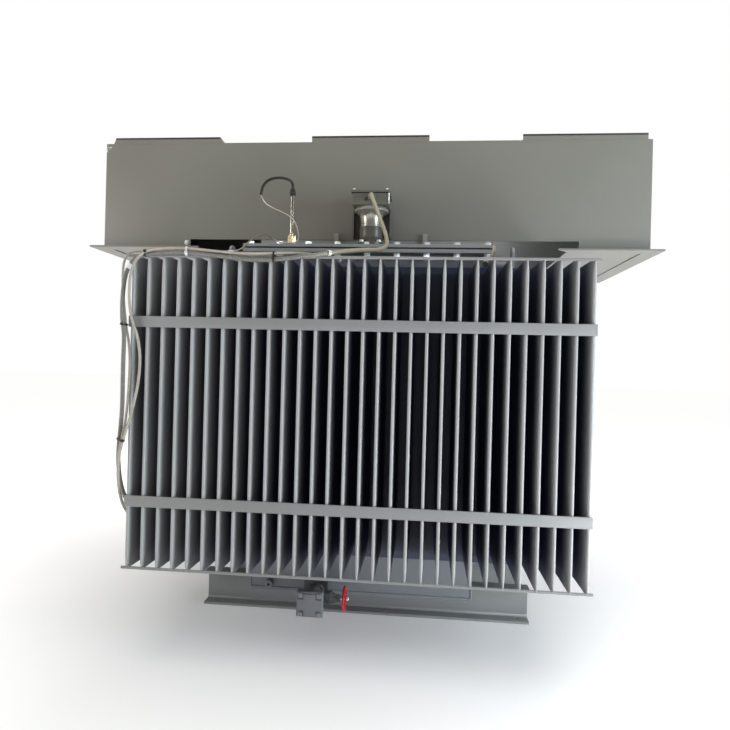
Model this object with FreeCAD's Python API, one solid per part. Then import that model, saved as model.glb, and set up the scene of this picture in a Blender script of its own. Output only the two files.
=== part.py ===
import FreeCAD, Part
import math
import os
from FreeCAD import Matrix, Vector

os.makedirs("parts", exist_ok=True)

# Oil-filled distribution transformer with a corrugated tank and a sheet-metal
# connection housing on its cover.
#
# Frame: millimetres.  The origin is the centre of the four floor holes, at floor
# level.  +X runs along the tank, +Y to the back, +Z up.  The front has the relay,
# the thermometer and the drain valve.

# ---------------------------------------------------------------- base rails
rail_length = 1158.0
rail_height = 120.0
rail_flange = 55.0          # flange width, measured over the web
rail_web = 7.0
rail_flange_thick = 9.0
rail_root_radius = 8.0
floor_hole_dia = 14.0
floor_hole_end = 39.0       # hole centre from the rail's end
floor_hole_lip = 28.0       # hole centre from the flange's lip
floor_hole_y = 147.0        # hole centre from the centre line

# ---------------------------------------------------------------- tank
tank_length = 732.0
tank_width = 639.0
tank_height = 1129.0        # underside of the floor to the underside of the flange
tank_wall = 6.0
tank_floor_thick = 10.0

# ---------------------------------------------------------------- fins
fin_pitch = 45.0
fin_count = 30              # on the front and on the back
fin_thick = 9.0
fin_nose = 0.45             # width of the folded edge, as a share of the fin's own
fin_end_thick = 3.0         # where each fin is pressed shut at its top and bottom
fin_press_length = 45.0     # the taper from fin_thick to fin_end_thick
fin_depth = 309.0
fin_lift = 150.0            # bottom of the fins above the underside of the tank
fin_drop = 61.0             # top of the fins below the underside of the tank flange
sheet_thick = 5.0           # the corrugated wall between the fins
sheet_edge = 19.0           # flat edge of that wall past the fins, top and bottom
sheet_side = 8.5            # and past the axis of the last fin

rod_dia = 8.5
rod_overhang = 8.0
strap_height = 32.0
strap_thick = 5.0
upper_strap_drop = 196.0    # strap centres from the top and the bottom of the fins
lower_strap_lift = 200.0

# ---------------------------------------------------------------- lifting bollards
bollard_y = 253.0
bollard_drop = 23.0         # axis below the underside of the tank flange
bollard_dia = 28.0
bollard_reach = 110.0       # side wall to the end plate
bollard_plate = 8.0
bollard_plate_width = 60.0
bollard_plate_below = 21.0  # end plate below and above the bollard's axis
bollard_plate_above = 61.0

# ---------------------------------------------------------------- cover
cover_lap_ends = 47.0       # the cover and flange stand out past the tank walls
cover_lap_sides = 36.5
flange_thick = 12.0
gasket_thick = 5.0
gasket_setback = 10.0
cover_thick = 10.0

tab_width = 16.0
tab_thick = 8.0
tab_height = 62.0
tab_gap = 6.0               # behind the tabs, to the housing wall
tab_left_x = -121.0
tab_right_x = 188.0

# ---------------------------------------------------------------- housing
housing_x = -18.0           # the housing stands this far off the tank's centre
housing_length = 1914.0
housing_front_y = -208.0    # outside of the front wall
housing_depth = 712.0
housing_height = 375.0      # underside of the walls to the top of the roof
housing_wall = 3.0
housing_floor_thick = 6.0
housing_floor_gap = 6.0     # cover to the underside of the housing's floor
floor_rim = 36.0            # the floor projects past the walls
floor_border = 60.0         # full-thickness border round the recessed floor
floor_recess = 3.0
bay_x = 12.0                # the floor is cut away over the tank
bay_length = 1306.0
bay_clearance = 14.0        # behind the cover
bay_nose = 35.0             # the front strips run this far in, past the bay's sides
mouth_x = 27.0              # the front wall is cut away over the cover
mouth_length = 1360.0
mouth_height = 30.0
seat_length = 784.0         # angle frame on the cover, which the front wall laps
seat_depth = 440.0
seat_thick = 6.0
seat_lap = 12.0
bracket_x = 250.0           # pair of gussets from the tank's back wall to the floor
bracket_thick = 10.0
bracket_drop = 40.0
bracket_inset = 30.5        # its end from the back edge of the housing's floor
bracket_nose = 18.0
bracket_clearance = 2.0     # to the edge of the cover

lid_x = -12.0
lid_length = 412.0
lid_height = 21.0
lid_pitch = 730.0
lid_depth = 600.0
lid_bevel = 14.0

# ---------------------------------------------------------------- protection relay
relay_x = 8.0
relay_wall_gap = 34.0       # back of the head to the housing's front wall
relay_base_dia = 88.0
relay_base_thick = 12.0
relay_neck_dia = 71.0
relay_neck_height = 52.0
relay_chamber_dia = 66.0
relay_chamber_height = 50.0
relay_collar_dia = 114.0
relay_collar_thick = 14.0
relay_head_width = 128.0
relay_head_depth = 116.0
relay_head_height = 50.0
relay_guard_thick = 4.0
relay_guard_height = 92.0
relay_guard_depth = 46.0
relay_gland_x = 4.0         # cable gland on the front of the head, from the relay's axis
relay_gland_rise = 26.0
relay_gland_dia = 24.0
relay_gland_length = 16.0

# ---------------------------------------------------------------- thermometer
pocket_x = -259.0
pocket_inset = 46.0         # from the cover's front edge
pocket_hex = 27.0           # across the flats
pocket_hex_height = 36.0
pocket_ferrule_dia = 17.0
pocket_ferrule_height = 8.0
pocket_tube_dia = 13.5
pocket_tube_height = 127.0
boot_dia = 19.0
boot_height = 25.0
sleeve_dia = 9.0            # black sleeve over the first bend of the capillary
capillary_dia = 4.0

# ---------------------------------------------------------------- drain valve
valve_x = -133.0
valve_rise = 27.0           # above the underside of the tank
drain_pipe_dia = 48.0
drain_pipe_length = 53.5
valve_flange_size = 80.0
valve_flange_thick = 12.0
valve_length = 114.0        # over both flanges
valve_body_dia = 62.0
blank_thick = 14.0
blank_width = 83.0
blank_height = 78.0
bonnet_dia = 44.0
bonnet_length = 72.0
gland_dia = 26.0
gland_length = 14.0
stem_dia = 10.0
stem_clearance = 0.3
wheel_dia = 80.0
wheel_rim_dia = 9.0
wheel_hub_dia = 20.0
wheel_hub_length = 14.0
wheel_gap = 6.0             # gland to the hub
wheel_spokes = 5
wheel_spoke_width = 8.0
wheel_spoke_thick = 5.0
stem_end = 7.0              # stem past the hub

# ---------------------------------------------------------------- earth boss
earth_x = -300.0
earth_rise = 26.0           # above the underside of the tank
earth_dia = 24.0
earth_length = 22.0

# ---------------------------------------------------------------- cables
conduit_large_dia = 14.0
conduit_small_dia = 9.0
conduit_medium_dia = 8.0
arc_share = 0.45            # of the shorter run, taken up by an arc
large_entry = 5.0           # entries of the conduits into the terminal box, above its middle
medium_entry = -23.0
small_entry = -50.0

terminal_box_y = -225.0
terminal_box_width = 150.0
terminal_box_height = 160.0
terminal_box_depth = 80.0
terminal_box_drop = 45.0    # its middle below the lower strap's

# ---------------------------------------------------------------- worked out
tank_bottom = rail_height
tank_top = tank_bottom + tank_height
half_length = tank_length / 2
half_width = tank_width / 2

fin_bottom = tank_bottom + fin_lift
fin_top = tank_top - fin_drop
lower_strap_z = fin_bottom + lower_strap_lift
upper_strap_z = fin_top - upper_strap_drop
bank_half = (fin_count - 1) * fin_pitch / 2 + sheet_side
long_tip = half_width + sheet_thick + fin_depth
side_tip = bank_half
side_count = int((tank_width - fin_thick) / fin_pitch + 0.001) + 1

cover_x = half_length + cover_lap_ends
cover_y = half_width + cover_lap_sides
flange_top = tank_top + flange_thick
gasket_top = flange_top + gasket_thick
cover_top = gasket_top + cover_thick

housing_floor_bottom = cover_top + housing_floor_gap
housing_bottom = housing_floor_bottom + housing_floor_thick
housing_top = housing_bottom + housing_height
housing_back_y = housing_front_y + housing_depth
mouth_top = housing_bottom + mouth_height

relay_y = housing_front_y - relay_wall_gap - relay_head_depth / 2
pocket_y = -cover_y + pocket_inset

valve_z = tank_bottom + valve_rise
valve_flange_y = -half_width - drain_pipe_length
valve_front_y = valve_flange_y - valve_length
valve_mid_y = (valve_flange_y + valve_front_y) / 2


def save(shape, name):
    shape.exportStep("parts/" + name + ".step")


def box(x0, x1, y0, y1, z0, z1):
    return Part.makeBox(x1 - x0, y1 - y0, z1 - z0, Vector(x0, y0, z0))


def cylinder(dia, height, base, direction=Vector(0, 0, 1)):
    return Part.makeCylinder(dia / 2, height, base, direction)


def mirror_x(shape):
    return shape.mirror(Vector(0, 0, 0), Vector(1, 0, 0))


def mirror_y(shape):
    return shape.mirror(Vector(0, 0, 0), Vector(0, 1, 0))


def prism(points, direction):
    """A straight solid on a closed outline of corner points."""
    corners = [Vector(*point) for point in points]
    outline = Part.makePolygon(corners + corners[:1])
    return Part.Face(outline).extrude(direction)


# ---------------------------------------------------------------- base rails
def channel_rail(hole_y):
    """Hot-rolled channel on edge, its web to the back and its flanges to the front."""
    tip = hole_y - floor_hole_lip
    back = tip + rail_flange
    root_y = back - rail_web
    end = rail_length / 2
    steel = box(-end, end, tip, back, 0, rail_height)
    steel = steel.cut(box(-end, end, tip, root_y, rail_flange_thick, rail_height - rail_flange_thick))
    roots = [edge for edge in steel.Edges
             if abs(edge.BoundBox.YMin - root_y) < 0.01 and abs(edge.BoundBox.YMax - root_y) < 0.01
             and edge.Length > rail_length / 2]
    steel = steel.makeFillet(rail_root_radius, roots)
    for side in (-1, 1):
        centre = Vector(side * (end - floor_hole_end), hole_y, 0)
        steel = steel.cut(cylinder(floor_hole_dia, rail_flange_thick, centre))
    return steel


save(channel_rail(-floor_hole_y), "front_rail")
save(channel_rail(floor_hole_y), "back_rail")

# ---------------------------------------------------------------- tank shell
wall_bottom = tank_bottom + tank_floor_thick
inner_length = half_length - tank_wall
inner_width = half_width - tank_wall

save(box(-half_length, half_length, -half_width, half_width, tank_bottom, wall_bottom), "tank_floor")

front_wall = box(-half_length, half_length, -half_width, -inner_width, wall_bottom, tank_top)
save(front_wall, "tank_front_wall")
save(mirror_y(front_wall), "tank_back_wall")

left_wall = box(-half_length, -inner_length, -inner_width, inner_width, wall_bottom, tank_top)
save(left_wall, "tank_left_wall")
save(mirror_x(left_wall), "tank_right_wall")

earth_base = Vector(earth_x, -half_width, tank_bottom + earth_rise)
save(cylinder(earth_dia, earth_length, earth_base, Vector(0, -1, 0)), "earth_boss")


# ---------------------------------------------------------------- corrugated walls
def fin_section(thick, root, tip, z):
    """Plan corners of one fin: flat sides and a narrowed fold at the tip."""
    half = thick / 2
    nose = half * fin_nose
    shoulder = tip - half
    return [Vector(root, -half, z), Vector(shoulder, -half, z), Vector(tip, -nose, z),
            Vector(tip, nose, z), Vector(shoulder, half, z), Vector(root, half, z)]


def fin(root, tip):
    """One fold of the wall, pointing to +X, pressed shut at both ends."""
    levels = [
        (fin_end_thick, fin_bottom),
        (fin_thick, fin_bottom + fin_press_length),
        (fin_thick, fin_top - fin_press_length),
        (fin_end_thick, fin_top),
    ]
    rings = [fin_section(thick, root, tip, z) for thick, z in levels]
    faces = [rings[0], rings[-1]]
    for lower, upper in zip(rings, rings[1:]):
        for k in range(len(lower)):
            faces.append([lower[k - 1], lower[k], upper[k], upper[k - 1]])
    shell = Part.Shell([Part.Face(Part.makePolygon(corners + corners[:1])) for corners in faces])
    return Part.Solid(shell)


def bracing_rod(tip, half_run, z):
    """Round rod let into the corners of the fins."""
    return cylinder(rod_dia, 2 * half_run, Vector(tip - rod_dia / 2, -half_run, z), Vector(0, 1, 0))


def corner_notch(tip, z, end_z):
    """Seat of a rod in one fin: the rod's own round, and the corner outside it."""
    seat_x = tip - rod_dia / 2
    corner = box(seat_x, tip, -fin_thick, fin_thick, min(z, end_z), max(z, end_z))
    return bracing_rod(tip, fin_thick, z).fuse(corner)


def bank(root, tip, count, sheet_half, rod_half):
    """A row of fins on their sheet, facing +X, and its rods and straps."""
    low_rod_z = fin_bottom + rod_dia / 2
    high_rod_z = fin_top - rod_dia / 2
    one = fin(root, tip)
    one = one.cut(corner_notch(tip, low_rod_z, fin_bottom))
    one = one.cut(corner_notch(tip, high_rod_z, fin_top))
    sheet = box(root - sheet_thick, root, -sheet_half, sheet_half,
                fin_bottom - sheet_edge, fin_top + sheet_edge)
    row = []
    for number in range(count):
        copy = one.copy()
        copy.translate(Vector(0, (number - (count - 1) / 2) * fin_pitch, 0))
        row.append(copy)
    braces = [bracing_rod(tip, rod_half, low_rod_z), bracing_rod(tip, rod_half, high_rod_z)]
    for middle in (lower_strap_z, upper_strap_z):
        braces.append(box(tip, tip + strap_thick, -sheet_half, sheet_half,
                          middle - strap_height / 2, middle + strap_height / 2))
    return sheet.multiFuse(row).removeSplitter(), Part.makeCompound(braces)


to_front = Matrix(0, 1, 0, 0, -1, 0, 0, 0, 0, 0, 1, 0, 0, 0, 0, 1)

long_fins, long_braces = bank(half_width + sheet_thick, long_tip, fin_count,
                              bank_half, bank_half + rod_overhang)
front_fins = long_fins.transformed(to_front)
front_braces = long_braces.transformed(to_front)
save(front_fins, "front_fin_wall")
save(mirror_y(front_fins), "back_fin_wall")
save(front_braces, "front_fin_braces")
save(mirror_y(front_braces), "back_fin_braces")

side_fins, side_braces = bank(half_length + sheet_thick, side_tip, side_count,
                              half_width, half_width)
save(side_fins, "right_fin_wall")
save(mirror_x(side_fins), "left_fin_wall")
save(side_braces, "right_fin_braces")
save(mirror_x(side_braces), "left_fin_braces")


# ---------------------------------------------------------------- lifting bollards
def lifting_bollard():
    """Round bar out of the side wall, over the fins, with a plate that keeps the sling on."""
    axis_z = tank_top - bollard_drop
    start = Vector(half_length, -bollard_y, axis_z)
    bar = cylinder(bollard_dia, bollard_reach, start, Vector(1, 0, 0))
    plate_x = half_length + bollard_reach
    half = bollard_plate_width / 2
    spring = axis_z + bollard_plate_above - half
    plate = box(plate_x, plate_x + bollard_plate, -bollard_y - half, -bollard_y + half,
                axis_z - bollard_plate_below, spring)
    crown = Vector(plate_x, -bollard_y, spring)
    plate = plate.fuse(cylinder(bollard_plate_width, bollard_plate, crown, Vector(1, 0, 0)))
    return bar.fuse(plate).removeSplitter()


front_right_bollard = lifting_bollard()
front_bollards = Part.makeCompound([front_right_bollard, mirror_x(front_right_bollard)])
save(front_bollards, "front_lifting_bollards")
save(mirror_y(front_bollards), "back_lifting_bollards")

# ---------------------------------------------------------------- flange, gasket and cover
def ring(outer_x, outer_y, z0, z1):
    outer = box(-outer_x, outer_x, -outer_y, outer_y, z0, z1)
    return outer.cut(box(-inner_length, inner_length, -inner_width, inner_width, z0, z1))


save(ring(cover_x, cover_y, tank_top, flange_top), "tank_flange")
save(ring(cover_x - gasket_setback, cover_y - gasket_setback, flange_top, gasket_top), "cover_gasket")
save(box(-cover_x, cover_x, -cover_y, cover_y, gasket_top, cover_top), "cover")

tab_y = housing_front_y - tab_gap
tabs = [box(x - tab_width / 2, x + tab_width / 2, tab_y - tab_thick, tab_y,
            cover_top, cover_top + tab_height) for x in (tab_left_x, tab_right_x)]
save(Part.makeCompound(tabs), "cover_tabs")

# ---------------------------------------------------------------- housing
seat_y = housing_front_y + housing_wall
seat_back_y = seat_y + seat_depth
seat_half = seat_length / 2
seat_top = mouth_top + seat_lap
seat = box(-seat_half, seat_half, seat_y, seat_back_y, cover_top, seat_top)
seat = seat.cut(box(-seat_half + seat_thick, seat_half - seat_thick,
                    seat_y + seat_thick, seat_back_y - seat_thick, cover_top, seat_top))
save(seat, "housing_seat")

bracket_low = tank_top - bracket_drop
bracket_step = cover_y + bracket_clearance
bracket_end = housing_back_y + floor_rim - bracket_inset
gusset = [(half_width, bracket_low), (bracket_end, housing_floor_bottom - bracket_nose),
          (bracket_end, housing_floor_bottom), (bracket_step, housing_floor_bottom),
          (bracket_step, tank_top), (half_width, tank_top)]
brackets = [prism([(x - bracket_thick / 2, y, z) for y, z in gusset], Vector(bracket_thick, 0, 0))
            for x in (-bracket_x, bracket_x)]
save(Part.makeCompound(brackets), "housing_brackets")

left_x = housing_x - housing_length / 2
right_x = housing_x + housing_length / 2

floor_plate = box(left_x - floor_rim, right_x + floor_rim,
                  housing_front_y - floor_rim, housing_back_y + floor_rim,
                  housing_floor_bottom, housing_bottom)
bay_left = bay_x - bay_length / 2
bay_right = bay_x + bay_length / 2
bay_back_y = cover_y + bay_clearance
front_edge = housing_front_y - floor_rim
bay = prism([(bay_left + bay_nose, front_edge, housing_floor_bottom),
             (bay_right - bay_nose, front_edge, housing_floor_bottom),
             (bay_right, housing_front_y, housing_floor_bottom),
             (bay_right, bay_back_y, housing_floor_bottom),
             (bay_left, bay_back_y, housing_floor_bottom),
             (bay_left, housing_front_y, housing_floor_bottom)],
            Vector(0, 0, housing_floor_thick))
recess = box(left_x - floor_rim + floor_border, right_x + floor_rim - floor_border,
             front_edge + floor_border, housing_back_y + floor_rim - floor_border,
             housing_floor_bottom, housing_floor_bottom + floor_recess)
bay_border = box(bay_left - floor_border, bay_right + floor_border,
                 front_edge, bay_back_y + floor_border,
                 housing_floor_bottom, housing_floor_bottom + floor_recess)
save(floor_plate.cut(recess.cut(bay_border)).cut(bay), "housing_floor")

wall_top = housing_top - housing_wall
front_sheet = box(left_x, right_x, housing_front_y, housing_front_y + housing_wall,
                  housing_bottom, wall_top)
front_sheet = front_sheet.cut(box(mouth_x - mouth_length / 2, mouth_x + mouth_length / 2,
                                  housing_front_y, housing_front_y + housing_wall,
                                  housing_bottom, mouth_top))
save(front_sheet, "housing_front_wall")
save(box(left_x, right_x, housing_back_y - housing_wall, housing_back_y,
         housing_bottom, wall_top), "housing_back_wall")
save(box(left_x, left_x + housing_wall, housing_front_y + housing_wall, housing_back_y - housing_wall,
         housing_bottom, wall_top), "housing_left_wall")
save(box(right_x - housing_wall, right_x, housing_front_y + housing_wall, housing_back_y - housing_wall,
         housing_bottom, wall_top), "housing_right_wall")
save(box(left_x, right_x, housing_front_y, housing_back_y, wall_top, housing_top), "housing_roof")


def roof_lid(x):
    """Shallow folded tray on the roof, its ends cut back at a slope."""
    half = lid_length / 2
    top = housing_top + lid_height
    outline = [(x - half, housing_front_y, housing_top), (x + half, housing_front_y, housing_top),
               (x + half - lid_bevel, housing_front_y, top), (x - half + lid_bevel, housing_front_y, top)]
    return prism(outline, Vector(0, lid_depth, 0))


save(roof_lid(lid_x - lid_pitch), "left_roof_lid")
save(roof_lid(lid_x), "middle_roof_lid")
save(roof_lid(lid_x + lid_pitch), "right_roof_lid")

# ---------------------------------------------------------------- protection relay
relay_foot = Vector(relay_x, relay_y, cover_top)
relay_neck_base = relay_foot + Vector(0, 0, relay_base_thick)
relay_neck = cylinder(relay_base_dia, relay_base_thick, relay_foot)
relay_neck = relay_neck.fuse(cylinder(relay_neck_dia, relay_neck_height, relay_neck_base)).removeSplitter()
save(relay_neck, "relay_neck")

relay_chamber_base = relay_neck_base + Vector(0, 0, relay_neck_height)
relay_collar_base = relay_chamber_base + Vector(0, 0, relay_chamber_height)
relay_chamber = cylinder(relay_chamber_dia, relay_chamber_height, relay_chamber_base)
relay_chamber = relay_chamber.fuse(cylinder(relay_collar_dia, relay_collar_thick, relay_collar_base))
save(relay_chamber.removeSplitter(), "relay_chamber")

head_bottom = relay_collar_base.z + relay_collar_thick
head_left = relay_x - relay_head_width / 2
head_right = relay_x + relay_head_width / 2
head_front = relay_y - relay_head_depth / 2
head_back = relay_y + relay_head_depth / 2
gland_face = Vector(relay_x + relay_gland_x, head_front, head_bottom + relay_gland_rise)
head = box(head_left, head_right, head_front, head_back, head_bottom, head_bottom + relay_head_height)
head = head.fuse(cylinder(relay_gland_dia, relay_gland_length, gland_face, Vector(0, -1, 0)))
save(head.removeSplitter(), "relay_head")

guard_bottom = head_bottom - relay_guard_height
guard = box(head_left, head_right, head_back - relay_guard_depth, head_back, guard_bottom, head_bottom)
guard = guard.cut(box(head_left + relay_guard_thick, head_right - relay_guard_thick,
                      head_back - relay_guard_depth, head_back - relay_guard_thick,
                      guard_bottom, head_bottom))
guard = guard.cut(cylinder(relay_collar_dia, relay_collar_thick, relay_collar_base))
save(guard, "relay_guard")

# ---------------------------------------------------------------- thermometer pocket
pocket_foot = Vector(pocket_x, pocket_y, cover_top)
corner = pocket_hex / math.sqrt(3)
hexagon = [(pocket_x + corner * math.cos(math.radians(60 * k)),
            pocket_y + corner * math.sin(math.radians(60 * k)), cover_top) for k in range(6)]
pocket = prism(hexagon, Vector(0, 0, pocket_hex_height))
ferrule_base = pocket_foot + Vector(0, 0, pocket_hex_height)
pocket = pocket.fuse(cylinder(pocket_ferrule_dia, pocket_ferrule_height, ferrule_base))
tube_base = ferrule_base + Vector(0, 0, pocket_ferrule_height)
pocket = pocket.fuse(cylinder(pocket_tube_dia, pocket_tube_height, tube_base)).removeSplitter()
save(pocket, "thermometer_pocket")
boot_base = tube_base + Vector(0, 0, pocket_tube_height)
boot = cylinder(boot_dia, boot_height, boot_base)
boot_top = boot_base + Vector(0, 0, boot_height)


# ---------------------------------------------------------------- cables
def flexible_tube(route, dia):
    """Round tube on straight runs, joined by tangent arcs as large as the runs allow."""
    points = [Vector(*point) for point in route]
    edges = []
    start = points[0]
    for before, at, after in zip(points, points[1:], points[2:]):
        back = before - at
        ahead = after - at
        reach = arc_share * min(back.Length, ahead.Length)
        half_angle = back.getAngle(ahead) / 2
        back.normalize()
        ahead.normalize()
        inward = (back + ahead).normalize()
        middle = at + inward * (reach * (1 - math.sin(half_angle)) / math.cos(half_angle))
        arc_start = at + back * reach
        arc_end = at + ahead * reach
        edges.append(Part.LineSegment(start, arc_start).toShape())
        edges.append(Part.Arc(arc_start, middle, arc_end).toShape())
        start = arc_end
        print("radius", round(reach * math.tan(half_angle)), "on a tube of", dia)
    edges.append(Part.LineSegment(start, points[-1]).toShape())
    path = Part.Wire(edges)
    section = Part.Wire(Part.makeCircle(dia / 2, points[0], points[1] - points[0]))
    tube = path.makePipeShell([section], True, False)
    print("volume over section times length", tube.Volume / (math.pi * dia ** 2 / 4 * path.Length),
          "length", round(path.Length))
    return tube


# Over the first bend of the capillary, from the top of the thermometer's boot.
sleeve_route = [
    (boot_top.x, boot_top.y, boot_top.z), (-259, -310, 1492), (-284, -310, 1505), (-316, -310, 1508),
    (-347, -310, 1499), (-365, -311, 1475), (-368, -312, 1448),
]
sleeve = flexible_tube(sleeve_route, sleeve_dia)
save(boot.fuse(sleeve), "thermometer_boot")

# Past the pocket, down to the cover, over the cover's edge to the front of the fins.
capillary_route = [
    sleeve_route[-1], (-358, -314, 1424), (-327, -319, 1403), (-290, -323, 1387), (-260, -325, 1371),
    (-242, -325, 1350), (-234, -324, 1324), (-231, -326, 1298), (-238, -338, 1282), (-262, -349, 1279),
    (-293, -351, 1280), (-313, -359, 1292), (-325, -388, 1299), (-332, -440, 1286), (-337, -500, 1262),
    (-340, -560, 1234), (-341, -602, 1209), (-360, -627, 1198),
]
save(flexible_tube(capillary_route, capillary_dia), "capillary")

box_face_y = terminal_box_y - terminal_box_width / 2
box_middle_x = -side_tip - strap_thick - terminal_box_depth / 2
box_middle_z = lower_strap_z - terminal_box_drop

# From the relay over the fins, along their front top edge and down the left corner.
conduit_large_route = [
    (gland_face.x, gland_face.y - relay_gland_length, gland_face.z), (12, -401, 1430), (31, -421, 1384),
    (51, -428, 1332), (70, -440, 1283), (74, -462, 1248), (50, -494, 1231), (14, -534, 1224),
    (-25, -586, 1211), (-75, -637, 1195), (-148, -642, 1184), (-225, -642, 1174), (-300, -642, 1172),
    (-370, -642, 1180), (-440, -642, 1187), (-500, -642, 1192), (-560, -642, 1191), (-612, -642, 1186),
    (-648, -643, 1172), (-668, -644, 1138), (-676, -645, 1090), (-677, -647, 1035), (-674, -650, 995),
    (-666, -651, 953), (-668, -650, 893), (-670, -646, 820), (-671, -642, 745), (-676, -640, 680),
    (-685, -632, 620), (-692, -616, 565), (-695, -592, 505), (-696, -556, 455), (-698, -500, 428),
    (-703, -435, 425), (-706, -370, 430), (box_middle_x, box_face_y, box_middle_z + large_entry),
]
save(flexible_tube(conduit_large_route, conduit_large_dia), "conduit_large")

# From the tank's front wall, under the flange, and then beside the large one.
conduit_small_route = [
    (-95, -half_width, 1228), (-95, -362, 1228), (-99, -415, 1220), (-106, -470, 1210), (-114, -530, 1204),
    (-130, -586, 1199), (-168, -626, 1196), (-225, -640, 1193), (-300, -641, 1190), (-370, -640, 1193),
    (-440, -640, 1200), (-500, -640, 1205), (-560, -642, 1204), (-606, -651, 1197), (-633, -657, 1172),
    (-650, -657, 1130), (-655, -652, 1080), (-653, -650, 1030), (-643, -650, 988), (-626, -649, 945),
    (-619, -646, 890), (-622, -643, 835), (-631, -643, 775), (-645, -645, 715), (-659, -652, 660),
    (-671, -655, 605), (-680, -643, 550), (-686, -620, 495), (-688, -587, 440), (-690, -530, 396),
    (-698, -460, 378), (-706, -385, 375), (box_middle_x, box_face_y, box_middle_z + small_entry),
]
save(flexible_tube(conduit_small_route, conduit_small_dia), "conduit_small")

# The capillary's own sheath, from the front of the fins on.
conduit_medium_route = [
    capillary_route[-1], (-405, -627, 1197), (-455, -626, 1198), (-512, -627, 1200), (-568, -628, 1198),
    (-618, -627, 1197), (-660, -626, 1199), (-685, -627, 1177), (-688, -628, 1124), (-683, -630, 1068),
    (-676, -632, 1018), (-669, -636, 975), (-658, -639, 935), (-653, -639, 885), (-653, -640, 825),
    (-656, -640, 760), (-661, -641, 700), (-668, -646, 655), (-678, -645, 608), (-685, -628, 555),
    (-688, -604, 500), (-690, -566, 450), (-690, -515, 412), (-699, -450, 401), (-706, -380, 402),
    (box_middle_x, box_face_y, box_middle_z + medium_entry),
]
save(flexible_tube(conduit_medium_route, conduit_medium_dia), "conduit_medium")

save(box(box_middle_x - terminal_box_depth / 2, box_middle_x + terminal_box_depth / 2,
         box_face_y, box_face_y + terminal_box_width,
         box_middle_z - terminal_box_height / 2, box_middle_z + terminal_box_height / 2), "terminal_box")

# ---------------------------------------------------------------- drain valve
forward = Vector(0, -1, 0)
sideways = Vector(1, 0, 0)


def valve_flange(width, height, back_y, thick):
    return box(valve_x - width / 2, valve_x + width / 2, back_y - thick, back_y,
               valve_z - height / 2, valve_z + height / 2)


pipe = cylinder(drain_pipe_dia, drain_pipe_length, Vector(valve_x, -half_width, valve_z), forward)
save(pipe, "drain_pipe")

valve_centre = Vector(valve_x, valve_mid_y, valve_z)
body = cylinder(valve_body_dia, valve_length, Vector(valve_x, valve_flange_y, valve_z), forward)
body = body.fuse(valve_flange(valve_flange_size, valve_flange_size, valve_flange_y, valve_flange_thick))
front_flange_y = valve_front_y + valve_flange_thick
body = body.fuse(valve_flange(valve_flange_size, valve_flange_size, front_flange_y, valve_flange_thick))
body = body.fuse(cylinder(bonnet_dia, bonnet_length, valve_centre, sideways))
bonnet_end = valve_centre + Vector(bonnet_length, 0, 0)
body = body.fuse(cylinder(gland_dia, gland_length, bonnet_end, sideways)).removeSplitter()
gland_end = bonnet_end + Vector(gland_length, 0, 0)
stem_bore = cylinder(stem_dia + 2 * stem_clearance, gland_length, bonnet_end, sideways)
body = body.cut(stem_bore)
save(body, "drain_valve_body")
save(valve_flange(blank_width, blank_height, valve_front_y, blank_thick), "drain_blank")

stem_start = bonnet_end + Vector(stem_clearance, 0, 0)
stem_length = gland_length - stem_clearance + wheel_gap + wheel_hub_length + stem_end
save(cylinder(stem_dia, stem_length, stem_start, sideways), "drain_stem")

hub_start = gland_end + Vector(wheel_gap, 0, 0)
hub_middle = hub_start + Vector(wheel_hub_length / 2, 0, 0)
rim_radius = (wheel_dia - wheel_rim_dia) / 2
wheel = Part.makeTorus(rim_radius, wheel_rim_dia / 2, hub_middle, sideways)
wheel = wheel.fuse(cylinder(wheel_hub_dia, wheel_hub_length, hub_start, sideways))
for number in range(wheel_spokes):
    spoke = box(hub_middle.x - wheel_spoke_thick / 2, hub_middle.x + wheel_spoke_thick / 2,
                hub_middle.y - wheel_spoke_width / 2, hub_middle.y + wheel_spoke_width / 2,
                hub_middle.z, hub_middle.z + rim_radius)
    spoke.rotate(hub_middle, sideways, 360 / wheel_spokes * number)
    wheel = wheel.fuse(spoke)
wheel = wheel.cut(cylinder(stem_dia, wheel_hub_length, hub_start, sideways)).removeSplitter()
save(wheel, "drain_handwheel")
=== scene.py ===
import math
import bmesh
import bpy
from mathutils import Matrix, Vector


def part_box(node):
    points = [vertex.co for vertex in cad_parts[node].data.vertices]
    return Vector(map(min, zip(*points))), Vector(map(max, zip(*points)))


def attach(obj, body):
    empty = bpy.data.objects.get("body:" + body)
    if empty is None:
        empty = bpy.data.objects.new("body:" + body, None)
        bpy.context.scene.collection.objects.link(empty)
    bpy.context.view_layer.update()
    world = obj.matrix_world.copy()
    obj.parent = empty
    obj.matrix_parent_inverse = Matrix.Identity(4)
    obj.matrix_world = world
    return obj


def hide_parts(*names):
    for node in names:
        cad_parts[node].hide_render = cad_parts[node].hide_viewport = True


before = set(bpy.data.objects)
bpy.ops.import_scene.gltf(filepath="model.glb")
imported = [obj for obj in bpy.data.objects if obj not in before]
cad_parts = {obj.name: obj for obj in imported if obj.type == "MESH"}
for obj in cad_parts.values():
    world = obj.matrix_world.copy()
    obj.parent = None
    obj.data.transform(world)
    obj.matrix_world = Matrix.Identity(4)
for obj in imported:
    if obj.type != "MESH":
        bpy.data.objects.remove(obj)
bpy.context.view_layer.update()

# ------------------------------------------------------------------ studio
# A pale floor in a white surround, with soft daylight: a wide window on the right, a weaker one on
# the left, a broad one overhead and one behind.  Small lights fill the housing's ends, its open bay
# and the right end of the rails.  The camera stands in front, right of the middle.
eye = bpy.data.objects.new("eye", bpy.data.cameras.new("eye"))
bpy.context.scene.collection.objects.link(eye)
eye.data.lens = 30.643
eye.data.sensor_width = 36.0
turn = Matrix.Rotation(math.radians(5.575), 4, "Z")
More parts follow.
